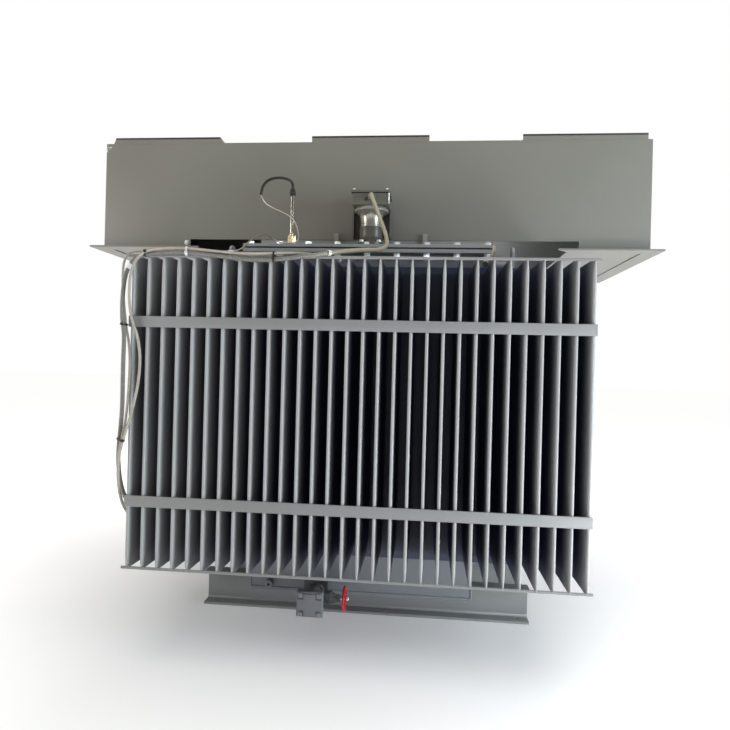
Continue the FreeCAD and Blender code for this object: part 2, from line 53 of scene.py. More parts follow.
tilt = Matrix.Rotation(math.radians(90.017), 4, "X")
lean = Matrix.Rotation(math.radians(1.48), 4, "Z")
eye.matrix_world = Matrix.Translation((0.201, -2.3674, 0.8817)) @ turn @ tilt @ lean
bpy.context.scene.camera = eye
bpy.context.scene.view_settings.view_transform = "Standard"


def soft_light(name, place, aim, size, watts, colour):
    light = bpy.data.objects.new(name, bpy.data.lights.new(name, "AREA"))
    light.data.shape = "RECTANGLE"
    light.data.size, light.data.size_y = size
    light.data.energy = watts
    light.data.color = colour
    light.location = place
    light.rotation_euler = (Vector(aim) - Vector(place)).to_track_quat("-Z", "Y").to_euler()
    bpy.context.scene.collection.objects.link(light)


soft_light("window_light", (3.1, -1.75, 0.95), (0.5, -0.2, 1.0), (1.6, 1.8), 60.0, (0.76, 0.88, 1.0))
soft_light("right_end_light", (2.0, -1.5, 1.45), (0.95, -0.2, 1.45), (0.6, 0.5), 11.0, (0.78, 0.88, 1.0))
soft_light("low_right_light", (1.4, -1.2, 0.24), (0.5, -0.3, 0.12), (0.4, 0.24), 11.0, (0.92, 0.96, 1.0))
soft_light("left_end_light", (-1.75, -1.2, 1.5), (-1.0, -0.2, 1.45), (0.4, 0.4), 2.2, (0.97, 0.98, 1.0))
soft_light("left_light", (-2.8, -1.6, 1.3), (-0.7, -0.2, 1.1), (1.2, 1.4), 25.0, (1.0, 0.99, 0.97))
soft_light("overhead_light", (0.2, -1.0, 4.6), (0.0, -0.8, 0.0), (5.0, 4.0), 110.0, (1.0, 0.97, 0.9))
soft_light("back_light", (0.5, 4.2, 3.2), (0.0, 0.0, 0.9), (3.0, 2.0), 90.0, (1.0, 1.0, 1.0))
soft_light("inner_light", (0.45, -0.1, 1.6), (0.5, 0.3, 1.4), (0.4, 0.1), 1.6, (0.86, 0.92, 1.0))


def feed(tree, node, inputs):
    """Give each named input of a shader node its value, or a link from another node's output."""
    for socket, value in inputs.items():
        if isinstance(value, bpy.types.NodeSocket):
            tree.links.new(value, node.inputs[socket])
        else:
            node.inputs[socket].default_value = value


def add_node(tree, kind, output, inputs, **settings):
    """One shader node, set up and fed, of which a single output is used."""
    node = tree.nodes.new("ShaderNode" + kind)
    for setting, value in settings.items():
        setattr(node, setting, value)
    feed(tree, node, inputs)
    return node.outputs[output]


def new_look(name):
    """A new material, its node tree, its shader, and the place of each point on the object."""
    look = bpy.data.materials.new(name)
    look.use_nodes = True
    tree = look.node_tree
    return look, tree, tree.nodes["Principled BSDF"], add_node(tree, "TexCoord", "Object", {})


white = (1.0, 1.0, 1.0, 1.0)
surround = bpy.data.worlds.new("surround")
bpy.context.scene.world = surround
surround.use_nodes = True
sky = surround.node_tree
cast = sky.nodes["Background"]
feed(sky, cast, {"Color": (1.0, 0.98, 0.94, 1.0), "Strength": 0.12})
seen = add_node(sky, "Background", "Background", {"Color": white, "Strength": 1.0})
straight = add_node(sky, "LightPath", "Is Camera Ray", {})
chosen = add_node(sky, "MixShader", "Shader", {"Fac": straight, 1: cast.outputs["Background"], 2: seen})
feed(sky, sky.nodes["World Output"], {"Surface": chosen})

floor_half = 30.0
floor_mesh = bpy.data.meshes.new("studio_floor")
floor_corners = [(-floor_half, -floor_half, 0), (floor_half, -floor_half, 0),
                 (floor_half, floor_half, 0), (-floor_half, floor_half, 0)]
floor_mesh.from_pydata(floor_corners, [], [(0, 1, 2, 3)])
studio_floor = bpy.data.objects.new("studio_floor", floor_mesh)
bpy.context.scene.collection.objects.link(studio_floor)
floor_look, floor_tree, floor_shader, floor_place = new_look("studio_floor")
# The floor glows by emission, faintly near the object and almost white from about 3 m out: painted light,
# which also lights the object from below.
floor_reach = add_node(floor_tree, "VectorMath", "Value", {0: floor_place}, operation="LENGTH")
floor_glow = add_node(floor_tree, "MapRange", "Result", {
    "Value": floor_reach, "From Min": 0.4, "From Max": 3.2, "To Min": 0.15, "To Max": 0.88},
    interpolation_type="SMOOTHSTEP")
feed(floor_tree, floor_shader, {
    "Base Color": (0.9, 0.9, 0.9, 1.0), "Roughness": 0.9, "Emission Color": white,
    "Emission Strength": floor_glow})
floor_mesh.materials.append(floor_look)


# ------------------------------------------------------------------ base rails
# Two hot-rolled channels on edge, welded under the tank and drilled at their ends for floor bolts.
# They are shot-blasted and sprayed with the same grey enamel as the tank; here that grey is set darker than
# the tank's, as painted shade.
def noise(tree, place, scale, detail):
    return add_node(tree, "TexNoise", "Fac", {"Vector": place, "Scale": scale, "Detail": detail})


def blend(tree, share, one, two):
    return add_node(tree, "Mix", "Result", {"Factor": share, "A": one, "B": two}, data_type="RGBA")


def reckon(tree, operation, *terms, use_clamp=False):
    return add_node(tree, "Math", "Value", dict(enumerate(terms)), operation=operation, use_clamp=use_clamp)


def shades(tree, share, colour, darker, lighter):
    """A colour that wanders between a darker and a lighter shade of itself."""
    return blend(tree, share, [c * darker for c in colour] + [1.0],
                 [min(1.0, c * lighter) for c in colour] + [1.0])


def dress_shader(tree, shader, colour, patches, roughness, relief=None):
    """Colour, roughness between two values by patches, and relief as (height, strength, depth)."""
    rough = add_node(tree, "MapRange", "Result", {
        "Value": patches, "To Min": roughness[0], "To Max": roughness[1]})
    feed(tree, shader, {"Base Color": colour, "Roughness": rough})
    if relief:
        height, strength, depth = relief
        feed(tree, shader, {"Normal": add_node(tree, "Bump", "Normal", {
            "Height": height, "Strength": strength, "Distance": depth})})


dust_colour = (0.5, 0.48, 0.44, 1.0)
# The blue-black of the painted shade deep between the fins.
gap_shade_colour = (0.03, 0.04, 0.068, 1.0)


def painted(name, colour, gloss, grain=380.0, cloud=0.1, dust=0.12, gap_shade_across=None, gap_shade_from=0.0,
            gap_shade_until=0.0, unshaded_beyond=0.0):
    """Sprayed enamel: slow changes of shade, orange peel, and pale dust on what faces up.

    If told, the colour darkens across X or Y to a blue-black deep between the folds: painted shade where
    little light gets in, while the outermost faces stay plain.
    """
    look, tree, shader, place = new_look(name)
    patches = noise(tree, place, 3.2, 6.0)
    shade = shades(tree, patches, colour, 1 - cloud, 1 + cloud)
    facing = add_node(tree, "NewGeometry", "Normal", {})
    upward = add_node(tree, "SeparateXYZ", "Z", {"Vector": facing})
    settled = reckon(tree, "MULTIPLY", upward, noise(tree, place, 90.0, 8.0), use_clamp=True)
    coat = blend(tree, reckon(tree, "MULTIPLY", settled, dust * 2), shade, dust_colour)
    # Painted shade: darker the deeper between the folds, plain on the outermost faces.
    if gap_shade_across:
        along = "X" if gap_shade_across == "Y" else "Y"
        outward, sideways = (reckon(tree, "ABSOLUTE", add_node(tree, "SeparateXYZ", axis, {"Vector": place}))
                             for axis in (gap_shade_across, along))
        ragged = 0.02
        reach = reckon(tree, "MULTIPLY_ADD", patches, ragged, outward)
        unshaded_share = add_node(tree, "MapRange", "Result", {
            "Value": reach, "From Min": gap_shade_from + ragged / 2, "From Max": gap_shade_until + ragged / 2})
        open_face = reckon(tree, "GREATER_THAN", sideways, unshaded_beyond)
        coat = blend(tree, reckon(tree, "MAXIMUM", unshaded_share, open_face), gap_shade_colour, coat)
    peel = noise(tree, place, grain, 3.0)
    dress_shader(tree, shader, coat, patches, (gloss - 0.07, gloss + 0.1), (peel, 0.18, 0.0004))
    return look


sharp_angle = math.radians(35)


def dress_node(name, look, ease=0.0008):
    """A CAD piece as it is, with its sharp edges eased and its finish put on."""
    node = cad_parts[name]
    node.data.materials.clear()
    node.data.materials.append(look)
    weld = node.modifiers.new("join_seams", "WELD")
    weld.merge_threshold = 0.00002
    if ease:
        eased = node.modifiers.new("eased_edges", "BEVEL")
        eased.width = ease
        eased.segments = 2
        eased.limit_method = "ANGLE"
        eased.angle_limit = sharp_angle
        eased.harden_normals = True


def add_piece(name, mesh, look, body="transformer", stands_for=()):
    """A new piece from a bmesh: smooth where it is round, sharp past 35 degrees."""
    bmesh.ops.remove_doubles(mesh, verts=mesh.verts, dist=0.000005)
    bmesh.ops.dissolve_degenerate(mesh, edges=mesh.edges, dist=0.000005)
    bmesh.ops.recalc_face_normals(mesh, faces=mesh.faces)
    for face in mesh.faces:
        face.smooth = True
    for edge in mesh.edges:
        edge.smooth = len(edge.link_faces) == 2 and edge.calc_face_angle(0.0) < sharp_angle
    data = bpy.data.meshes.new(name)
    mesh.to_mesh(data)
    mesh.free()
    data.materials.append(look)
    piece = bpy.data.objects.new(name, data)
    bpy.context.scene.collection.objects.link(piece)
    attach(piece, body)
    if stands_for:
        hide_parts(*stands_for)
    return piece


def across(axis):
    """Two directions square to an axis and to each other."""
    axis = Vector(axis).normalized()
    side = axis.orthogonal().normalized()
    return side, axis.cross(side)


def ring_round(mesh, centre, radius, side, up, sides, twist=0.0):
    """A ring of vertices round a centre, in the plane of two directions."""
    angles = [2 * math.pi * k / sides + twist for k in range(sides)]
    return [mesh.verts.new(centre + radius * (math.cos(angle) * side + math.sin(angle) * up))
            for angle in angles]


def bridge(mesh, rings, capped=True):
    """Skin a row of rings with four-sided faces, and close its two ends."""
    for one, two in zip(rings, rings[1:]):
        for k in range(len(one)):
            mesh.faces.new((one[k - 1], one[k], two[k], two[k - 1]))
    if capped:
        mesh.faces.new(rings[0])
        mesh.faces.new(rings[-1])


def lay_bead(mesh, start, end, radius, seed=0):
    """A weld run from start to end: a low bead whose ripples vary a little in size."""
    start, end = Vector(start), Vector(end)
    run = end - start
    side, up = across(run)
    steps = max(4, int(run.length / 0.006))
    rings = []
    for step in range(steps + 1):
        wobble = 1 + 0.16 * math.sin(step * 2.1 + seed) + 0.1 * math.sin(step * 5.3 + 2 * seed)
        size = radius * wobble * (0.55 if step in (0, steps) else 1.0)
        rings.append(ring_round(mesh, start + run * (step / steps), size, side, up, 8))
    bridge(mesh, rings)


tank_grey = painted("tank_enamel", (0.272, 0.277, 0.275), 0.42)
# The rails' grey is darker than the tank's: painted shade.
rail_grey_with_painted_shade = painted("rail_enamel_with_painted_shade", (0.215, 0.22, 0.218), 0.4)
for rail in ("front_rail", "back_rail"):
    dress_node(rail, rail_grey_with_painted_shade, 0.0012)

tank_low, tank_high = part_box("tank_floor")
rail_welds = bmesh.new()
for rail in ("front_rail", "back_rail"):
    low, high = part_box(rail)
    for y in (low.y, high.y):
        lay_bead(rail_welds, (tank_low.x + 0.01, y, high.z), (tank_high.x - 0.01, y, high.z), 0.0035, y)
add_piece("rail_welds", rail_welds, rail_grey_with_painted_shade)

# ------------------------------------------------------------------ tank
# The oil tank is welded from plate.  Below the fins its plain lower part shows, with the weld run
# round its floor and a threaded earthing boss low on the front.
# The lower plates' enamel is a darker, bluer copy of the tank grey: painted shade with the painted blue cast
# of the daylight from the right.
base_grey_with_painted_shade = painted("base_enamel_with_painted_shade", (0.16, 0.175, 0.19), 0.4)
for plate in ("tank_floor", "tank_front_wall", "tank_back_wall", "tank_left_wall", "tank_right_wall"):
    dress_node(plate, base_grey_with_painted_shade, 0.0015)

wall_low, wall_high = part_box("tank_front_wall")
tank_welds = bmesh.new()
seam_z = wall_low.z
half_x, half_y = tank_high.x, tank_high.y
for sign in (-1, 1):
    lay_bead(tank_welds, (-half_x, sign * half_y, seam_z), (half_x, sign * half_y, seam_z), 0.0032, sign)
    lay_bead(tank_welds, (sign * half_x, -half_y, seam_z), (sign * half_x, half_y, seam_z), 0.0032, 2 * sign)
    for side in (-1, 1):
        corner = (side * half_x, sign * half_y)
        lay_bead(tank_welds, (*corner, seam_z), (*corner, wall_high.z - 0.004), 0.0028, side + sign)
add_piece("tank_welds", tank_welds, base_grey_with_painted_shade)


def bright_metal(name, colour, gloss, scratch=220.0, stretch=(1.0, 1.0, 0.12), metal=1.0):
    """Bare or plated metal with fine directional scratches and a faintly uneven sheen."""
    look, tree, shader, place = new_look(name)
    pulled = add_node(tree, "Mapping", "Vector", {"Vector": place, "Scale": stretch})
    lines = noise(tree, pulled, scratch, 7.0)
    feed(tree, shader, {"Metallic": metal})
    dress_shader(tree, shader, shades(tree, lines, colour, 0.82, 1.12), lines,
                 (gloss - 0.08, gloss + 0.12), (lines, 0.12, 0.0002))
    return look


to_top = (0, 0, 1)
to_floor = (0, 0, -1)
to_front = (0, -1, 0)
to_right = (1, 0, 0)


def turn_up(mesh, base, axis, profile, sides=40, twist=0.0):
    """A turned shape: (distance along the axis, radius) pairs spun about it, closed at both ends."""
    base, axis = Vector(base), Vector(axis).normalized()
    side, up = across(axis)
    bridge(mesh, [ring_round(mesh, base + axis * along, radius, side, up, sides, twist)
                  for along, radius in profile])


zinc = bright_metal("zinc_plate", (0.86, 0.86, 0.83), 0.3, metal=0.45)
boss_low, boss_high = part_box("earth_boss")
boss_radius = (boss_high.z - boss_low.z) / 2
boss_axis = ((boss_low.x + boss_high.x) / 2, boss_high.y, (boss_low.z + boss_high.z) / 2)
boss_length = boss_high.y - boss_low.y
boss = bmesh.new()
turn_up(boss, boss_axis, to_front, [
    (0.0, boss_radius * 1.12), (0.003, boss_radius), (boss_length - 0.001, boss_radius),
    (boss_length, boss_radius - 0.001), (boss_length, 0.0055), (boss_length - 0.008, 0.0052),
    (boss_length - 0.008, 0.0004)])
add_piece("threaded_earth_boss", boss, base_grey_with_painted_shade, stands_for=("earth_boss",))


# ------------------------------------------------------------------ corrugated walls
# Each wall is one long sheet folded into deep hollow fins, pressed shut and welded along their top
# and bottom ends.  Oil circulates through the fins, so their noses stay round and their sides flat.
fin_pitch = 0.045
fin_half = 0.0045
fin_end_half = 0.0016
fin_root_fillet = 0.0025
sheet_thick = 0.005
press_length = 0.045
rod_radius = 0.00425
# How far in from the fin noses the painted shade between the fins reaches.
gap_shade_depth = 0.105


def fin_plan(centre, root, tip, half):
    """One fold in plan: root fillets, flat sides and a half-round nose, from left to right."""
    outline = []
    for k in range(3):
        angle = math.pi / 4 * k
        outline.append((centre - half - fin_root_fillet * (1 - math.sin(angle)),
                        root + fin_root_fillet * (1 - math.cos(angle))))
    nose = min(half, fin_half)
    for k in range(9):
        angle = math.pi - math.pi / 8 * k
        outline.append((centre + half * math.cos(angle), tip - nose + nose * math.sin(angle)))
    for u, v in outline[2::-1]:
        outline.append((2 * centre - u, v))
    return outline


def reach_out(box, turned):
    """How far a box reaches from the middle, on the side of the tank that turned stands for."""
    low, high = box
    return (-low.y, high.x, high.y, -low.x)[turned]


def folded_wall(side, turned, root, count):
    """The whole folded sheet, built facing -Y and then turned to its side of the tank."""
    node = side + "_fin_wall"
    low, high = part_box(node)
    half_run = (high.x - low.x) / 2 if turned in (0, 2) else (high.y - low.y) / 2
    tip = reach_out((low, high), turned)
    low_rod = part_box(side + "_fin_braces")[0].z
    levels = [(low.z, None, 0), (low_rod, None, 0)]
    for step in range(6):
        share = step / 5
        ease = share * share * (3 - 2 * share)
        half = fin_end_half + (fin_half - fin_end_half) * ease
        back = rod_radius if step == 0 else 0.0
        levels.append((low_rod + press_length * share, half, back))
        if step == 0:
            levels.append((low_rod + rod_radius, fin_end_half, rod_radius))
            levels.append((low_rod + rod_radius * 1.2, fin_end_half, 0.0))
    upper = [(high.z - (z - low.z), half, back) for z, half, back in levels]
    levels = levels + upper[::-1]
    mesh = bmesh.new()
    rings = []
    for z, half, back in levels:
        outline = [(-half_run, root)]
        for number in range(count):
            centre = (number - (count - 1) / 2) * fin_pitch
            fold = fin_plan(centre, root, tip - back, half or fin_end_half)
            outline += fold if half else [(u, root) for u, v in fold]
        outline += [(half_run, root), (half_run, root - sheet_thick), (-half_run, root - sheet_thick)]
        rings.append([mesh.verts.new((u, -v, z)) for u, v in outline])
    bridge(mesh, rings, capped=False)
    for ring in (rings[0], rings[-1]):
        mesh.faces.new([ring[0]] + ring[-3:])
    bmesh.ops.rotate(mesh, verts=mesh.verts, cent=(0, 0, 0),
                     matrix=Matrix.Rotation(math.pi / 2 * turned, 3, "Z"))
    # The fins' enamel darkens deep between the folds: painted shade where little light gets in.
    look = painted(side + "_folded_wall_enamel_and_gap_shade", (0.33, 0.333, 0.33), 0.4,
                   gap_shade_across="Y" if turned in (0, 2) else "X", gap_shade_from=tip - gap_shade_depth,
                   gap_shade_until=tip - 0.004, unshaded_beyond=(count - 1) / 2 * fin_pitch)
    add_piece(side + "_folded_wall", mesh, look, stands_for=(node,))


long_root, side_root = half_y + sheet_thick, half_x + sheet_thick
side_count = int((2 * half_y - 2 * fin_half) / fin_pitch + 0.001) + 1
tank_sides = (("front", 0, long_root, 30), ("right", 1, side_root, side_count),
              ("back", 2, long_root, 30), ("left", 3, side_root, side_count))
for side, turned, root, count in tank_sides:
    folded_wall(side, turned, root, count)


# ------------------------------------------------------------------ rods and straps
# On each wall a round rod lies along the fins' top and bottom corners, and two flat straps cross
# their noses.  They are tacked to every fin, so that the thin folds keep their spacing.
strap_grey = painted("strap_enamel", (0.22, 0.223, 0.222), 0.4)
strap_height = 0.032
low_strap_rise = 0.2
high_strap_drop = 0.196


def rounded_block(mesh, middle, size, radius, segments=3):
    block = bmesh.ops.create_cube(mesh, size=1.0)["verts"]
    bmesh.ops.scale(mesh, verts=block, vec=size)
    bmesh.ops.translate(mesh, verts=block, vec=middle)
    rim = list(dict.fromkeys(edge for vert in block for edge in vert.link_edges))
    bmesh.ops.bevel(mesh, geom=rim, offset=radius, segments=segments, affect="EDGES", profile=0.5)


def brace_wall(side, turned, count):
    """Rods, straps and their tack welds along one wall, built facing -Y."""
    node = side + "_fin_braces"
    low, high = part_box(node)
    fin_low, fin_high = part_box(side + "_fin_wall")
    tip, outer = reach_out((fin_low, fin_high), turned), reach_out((low, high), turned)
    rod_half = (high.x - low.x) / 2 if turned in (0, 2) else (high.y - low.y) / 2
    strap_half = min(rod_half, (fin_high.x - fin_low.x) / 2) if turned in (0, 2) else rod_half
    noses = [(number, (number - (count - 1) / 2) * fin_pitch) for number in range(count)]
    mesh = bmesh.new()

    def tack(u, depth, z, half, radius, seed):
        lay_bead(mesh, (u - half, -depth, z), (u + half, -depth, z), radius, seed)

    for z, inward in ((low.z + rod_radius, 1), (high.z - rod_radius, -1)):
        turn_up(mesh, (-rod_half, -(tip - rod_radius), z), to_right, [
            (0.0, rod_radius - 0.0007), (0.0007, rod_radius), (2 * rod_half - 0.0007, rod_radius),
            (2 * rod_half, rod_radius - 0.0007)], 16)
        for number, u in noses:
            tack(u, tip - 0.0012, z + inward * rod_radius, fin_half * 0.7, 0.0019, number)
    for z in (low.z + low_strap_rise, high.z - high_strap_drop):
        rounded_block(mesh, (0, -(outer + tip) / 2, z), (2 * strap_half, outer - tip, strap_height),
                      0.0009, 2)
        for number, u in noses:
            for edge in (-1, 1):
                tack(u, tip + 0.0008, z + edge * strap_height / 2, fin_half * 0.6, 0.0017, number + edge)
    bmesh.ops.rotate(mesh, verts=mesh.verts, cent=(0, 0, 0),
                     matrix=Matrix.Rotation(math.pi / 2 * turned, 3, "Z"))
    add_piece(side + "_rods_and_straps", mesh, strap_grey, stands_for=(node,))


for side, turned, root, count in tank_sides:
    brace_wall(side, turned, count)

# ------------------------------------------------------------------ lifting bollards
# Four round bars stand out of the tank's side walls above the fins, each with a round-topped plate
# that keeps the sling on.  They are welded all round and painted with the tank.
bollard_welds = bmesh.new()
weld_runs = 12
bollard_radius = 0.021
for node in ("front_lifting_bollards", "back_lifting_bollards"):
    dress_node(node, tank_grey, 0.0012)
    low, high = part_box(node)
    axis_y = (low.y + high.y) / 2
    axis_z = low.z + bollard_radius
    for side in (-1, 1):
        for k in range(weld_runs):
            angle, after = (2 * math.pi * step / weld_runs for step in (k, k + 1))
            for x, radius in ((side * half_x, 0.0155), (side * (high.x - 0.008), 0.0152)):
                lay_bead(bollard_welds,
                         (x, axis_y + radius * math.cos(angle), axis_z + radius * math.sin(angle)),
                         (x, axis_y + radius * math.cos(after), axis_z + radius * math.sin(after)), 0.003, k)
add_piece("bollard_welds", bollard_welds, tank_grey)

# ------------------------------------------------------------------ flange, gasket and cover
# The cover plate is bolted down on the tank's flange over a cork-rubber gasket, with a zinc-plated
# bolt, two washers and a nut about every 97 mm.  Two small upright tabs are welded to its top.
def rubbery(name, colour, gloss):
    """Matt elastomer with a fine closed-cell grain."""
    look, tree, shader, place = new_look(name)
    grain = noise(tree, place, 700.0, 4.0)
    dress_shader(tree, shader, shades(tree, grain, colour, 0.7, 1.35), grain,
                 (gloss - 0.08, gloss + 0.08), (grain, 0.25, 0.0002))
    return look


black_rubber = rubbery("black_rubber", (0.018, 0.018, 0.016), 0.6)
for node in ("tank_flange", "cover", "cover_tabs"):
    dress_node(node, tank_grey, 0.0012)
dress_node("cover_gasket", black_rubber, 0.0006)


def six_sided(mesh, base, axis, across_flats, thick, dished=0.0008, twist=0.0):
    """A hexagon head or nut with its corners turned down on the free end."""
    corner = across_flats / math.sqrt(3)
    turn_up(mesh, base, axis, [(0.0, corner * 0.985), (0.0004, corner), (thick - dished, corner),
                               (thick, corner * 0.88)], 6, twist)


def washer(mesh, base, axis, radius, thick):
    turn_up(mesh, base, axis, [(0.0, radius - 0.0003), (0.0003, radius), (thick - 0.0004, radius),
                               (thick, radius - 0.0004)], 24)


def screw_end(mesh, base, axis, radius, length):
    """A bolt's threaded end, with its crests and a chamfered tip."""
    turns = max(2, int(length / 0.00175))
    profile = [(0.0, radius * 0.88)]
    for k in range(turns):
        profile.append((length * (k + 0.4) / turns, radius))
        profile.append((length * (k + 0.9) / turns, radius * 0.88))
    profile.append((length + 0.0008, radius * 0.7))
    turn_up(mesh, base, axis, profile, 16)


flange_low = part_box("tank_flange")[0]
plate_low, plate_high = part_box("cover")
bolt_span_x = plate_high.x - 0.023
bolt_line_y = plate_high.y - 0.020
bolt_radius = 0.006
key_size = 0.019
washer_radius = 0.0118
washer_thick = 0.0024
head_thick = 0.0078
nut_thick = 0.0100
bolt_places = [(-bolt_span_x + 2 * bolt_span_x * k / 8, side * bolt_line_y)
               for k in range(9) for side in (-1, 1)]
bolt_places += [(side * bolt_span_x, -bolt_line_y + 2 * bolt_line_y * k / 7)
                for k in range(1, 7) for side in (-1, 1)]
cover_bolts = bmesh.new()
for x, y in bolt_places:
    washer(cover_bolts, (x, y, plate_high.z), to_top, washer_radius, washer_thick)
    six_sided(cover_bolts, (x, y, plate_high.z + washer_thick), to_top, key_size, head_thick,
              twist=31 * x + 17 * y)
    washer(cover_bolts, (x, y, flange_low.z), to_floor, washer_radius, washer_thick)
    under_washer = flange_low.z - washer_thick
    six_sided(cover_bolts, (x, y, under_washer), to_floor, key_size, nut_thick, twist=23 * x)
    screw_end(cover_bolts, (x, y, under_washer - nut_thick), to_floor, bolt_radius, 0.0085)
add_piece("cover_bolts", cover_bolts, zinc)

tab_low, tab_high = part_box("cover_tabs")
tab_width = 0.016
tab_welds = bmesh.new()
for x in (tab_low.x, tab_low.x + tab_width, tab_high.x - tab_width, tab_high.x):
    lay_bead(tab_welds, (x, tab_low.y, tab_low.z), (x, tab_high.y, tab_low.z), 0.0024, x * 30)
add_piece("tab_welds", tab_welds, tank_grey)


# A flat tinned-copper braid bonds the cover to the flange at the front right corner.
def braided(name, colour):
    """Woven fine wire: two crossing sets of thin waves on a pale metal."""
    look = bright_metal(name, colour, 0.38, 500.0, (1.0, 1.0, 1.0))
    tree = look.node_tree
    place = add_node(tree, "TexCoord", "Object", {})
    wires = []
    for tilt in (0.7, -0.7):
        spun = add_node(tree, "Mapping", "Vector", {"Vector": place, "Rotation": (tilt, tilt, tilt)})
        wires.append(add_node(tree, "TexWave", "Fac", {"Vector": spun, "Scale": 320.0}))
    weave = add_node(tree, "Bump", "Normal", {
        "Height": reckon(tree, "MAXIMUM", *wires), "Strength": 0.6, "Distance": 0.0005})
    feed(tree, tree.nodes["Principled BSDF"], {"Normal": weave})
    return look


def smooth_line(route, spacing):
    """Evenly spaced points along the smooth curve that a route's points steer."""
    curve = bpy.data.curves.new("route", "CURVE")
    curve.dimensions = "3D"
    line = curve.splines.new("NURBS")
    line.points.add(len(route) - 1)
    for point, place in zip(line.points, route):
        point.co = (*place, 1.0)
    line.order_u = 3
    line.use_endpoint_u = True
    line.resolution_u = 24
    holder = bpy.data.objects.new("route", curve)
    points = [vert.co.copy() for vert in bpy.data.meshes.new_from_object(holder).vertices]
    bpy.data.objects.remove(holder)
    lengths = [0.0]
    for one, two in zip(points, points[1:]):
        lengths.append(lengths[-1] + (two - one).length)
    count = max(2, round(lengths[-1] / spacing))
    even = []
    k = 0
    for step in range(count + 1):
        want = lengths[-1] * step / count
        while k < len(points) - 2 and lengths[k + 1] < want:
            k += 1
        share = (want - lengths[k]) / max(lengths[k + 1] - lengths[k], 1e-9)
        even.append(points[k].lerp(points[k + 1], min(share, 1.0)))
    return even


def sweep(mesh, points, size_at, outline):
    """A skin round a line of points: outline (side, up) pairs, scaled by size_at(step)."""
    ahead = (points[1] - points[0]).normalized()
    side = ahead.orthogonal().normalized()
    rings = []
    for step, point in enumerate(points):
        onward = points[min(step + 1, len(points) - 1)] - points[max(step - 1, 0)]
        onward.normalize()
        side = (side - onward * side.dot(onward)).normalized()
        up = onward.cross(side)
        size = size_at(step)
        rings.append([mesh.verts.new(point + size * (a * side + b * up)) for a, b in outline])
    bridge(mesh, rings)


def round_outline(sides):
    return [(math.cos(2 * math.pi * k / sides), math.sin(2 * math.pi * k / sides)) for k in range(sides)]


tinned = braided("tinned_braid", (0.34, 0.32, 0.27))
corner_x, corner_y = plate_high.x, plate_low.y
strap_route = [(corner_x - 0.012, corner_y - 0.002, plate_high.z + 0.003),
               (corner_x - 0.004, corner_y - 0.016, plate_high.z - 0.002),
               (corner_x - 0.010, corner_y - 0.020, flange_low.z - 0.004),
               (corner_x - 0.026, corner_y - 0.012, flange_low.z - 0.030),
               (corner_x - 0.040, corner_y + 0.004, flange_low.z - 0.036),
               (corner_x - 0.050, corner_y + 0.022, flange_low.z - 0.012)]
bonding_strap = bmesh.new()
flat_braid = [(-1.0, -0.16), (1.0, -0.16), (1.0, 0.16), (-1.0, 0.16)]
sweep(bonding_strap, smooth_line(strap_route, 0.002), lambda step: 0.0045 + 0.0004 * (step % 2), flat_braid)
add_piece("bonding_braid", bonding_strap, tinned)
braid_lug = bmesh.new()
lug_place = Vector((corner_x - 0.030, corner_y - 0.010, flange_low.z - 0.036))
turn_up(braid_lug, lug_place, (0.3, 1, 0), [
    (0.0, 0.0086), (0.0012, 0.0096), (0.0035, 0.0096), (0.0045, 0.006), (0.012, 0.006)], 24)
add_piece("braid_lug", braid_lug, black_rubber)

# ------------------------------------------------------------------ connection housing
# A long box of 3 mm sheet, welded at its corners, on a floor plate whose rim stands out all round.
# It sits on an angle frame on the cover and on two gussets behind the tank, and has three lids.
housing_grey = painted("housing_enamel", (0.185, 0.18, 0.156), 0.34, 520.0, 0.08, 0.08)
for node in ("housing_seat", "housing_brackets"):
    dress_node(node, tank_grey, 0.001)
for node in ("housing_floor", "housing_front_wall", "housing_back_wall", "housing_left_wall",
             "housing_right_wall", "housing_roof"):
    dress_node(node, housing_grey, 0.0011)

front_low, front_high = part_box("housing_front_wall")
box_left, box_right = front_low.x, front_high.x
box_front, box_back = front_low.y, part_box("housing_back_wall")[1].y
box_bottom, box_top = front_low.z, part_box("housing_roof")[1].z
housing_welds = bmesh.new()
for x in (box_left, box_right):
    lay_bead(housing_welds, (x, box_back, box_bottom + 0.003), (x, box_back, box_top - 0.003), 0.0016, x)
mouth_middle = 0.027
mouth_half = 0.68
mouth_left, mouth_right = mouth_middle - mouth_half, mouth_middle + mouth_half
for x0, x1, y in ((box_left, mouth_left, box_front), (mouth_right, box_right, box_front),
                  (box_left, box_right, box_back)):
    lay_bead(housing_welds, (x0, y, box_bottom), (x1, y, box_bottom), 0.0022, x0)
for x in (box_left, box_right):
    lay_bead(housing_welds, (x, box_front, box_bottom), (x, box_back, box_bottom), 0.0022, x)
add_piece("housing_welds", housing_welds, housing_grey)


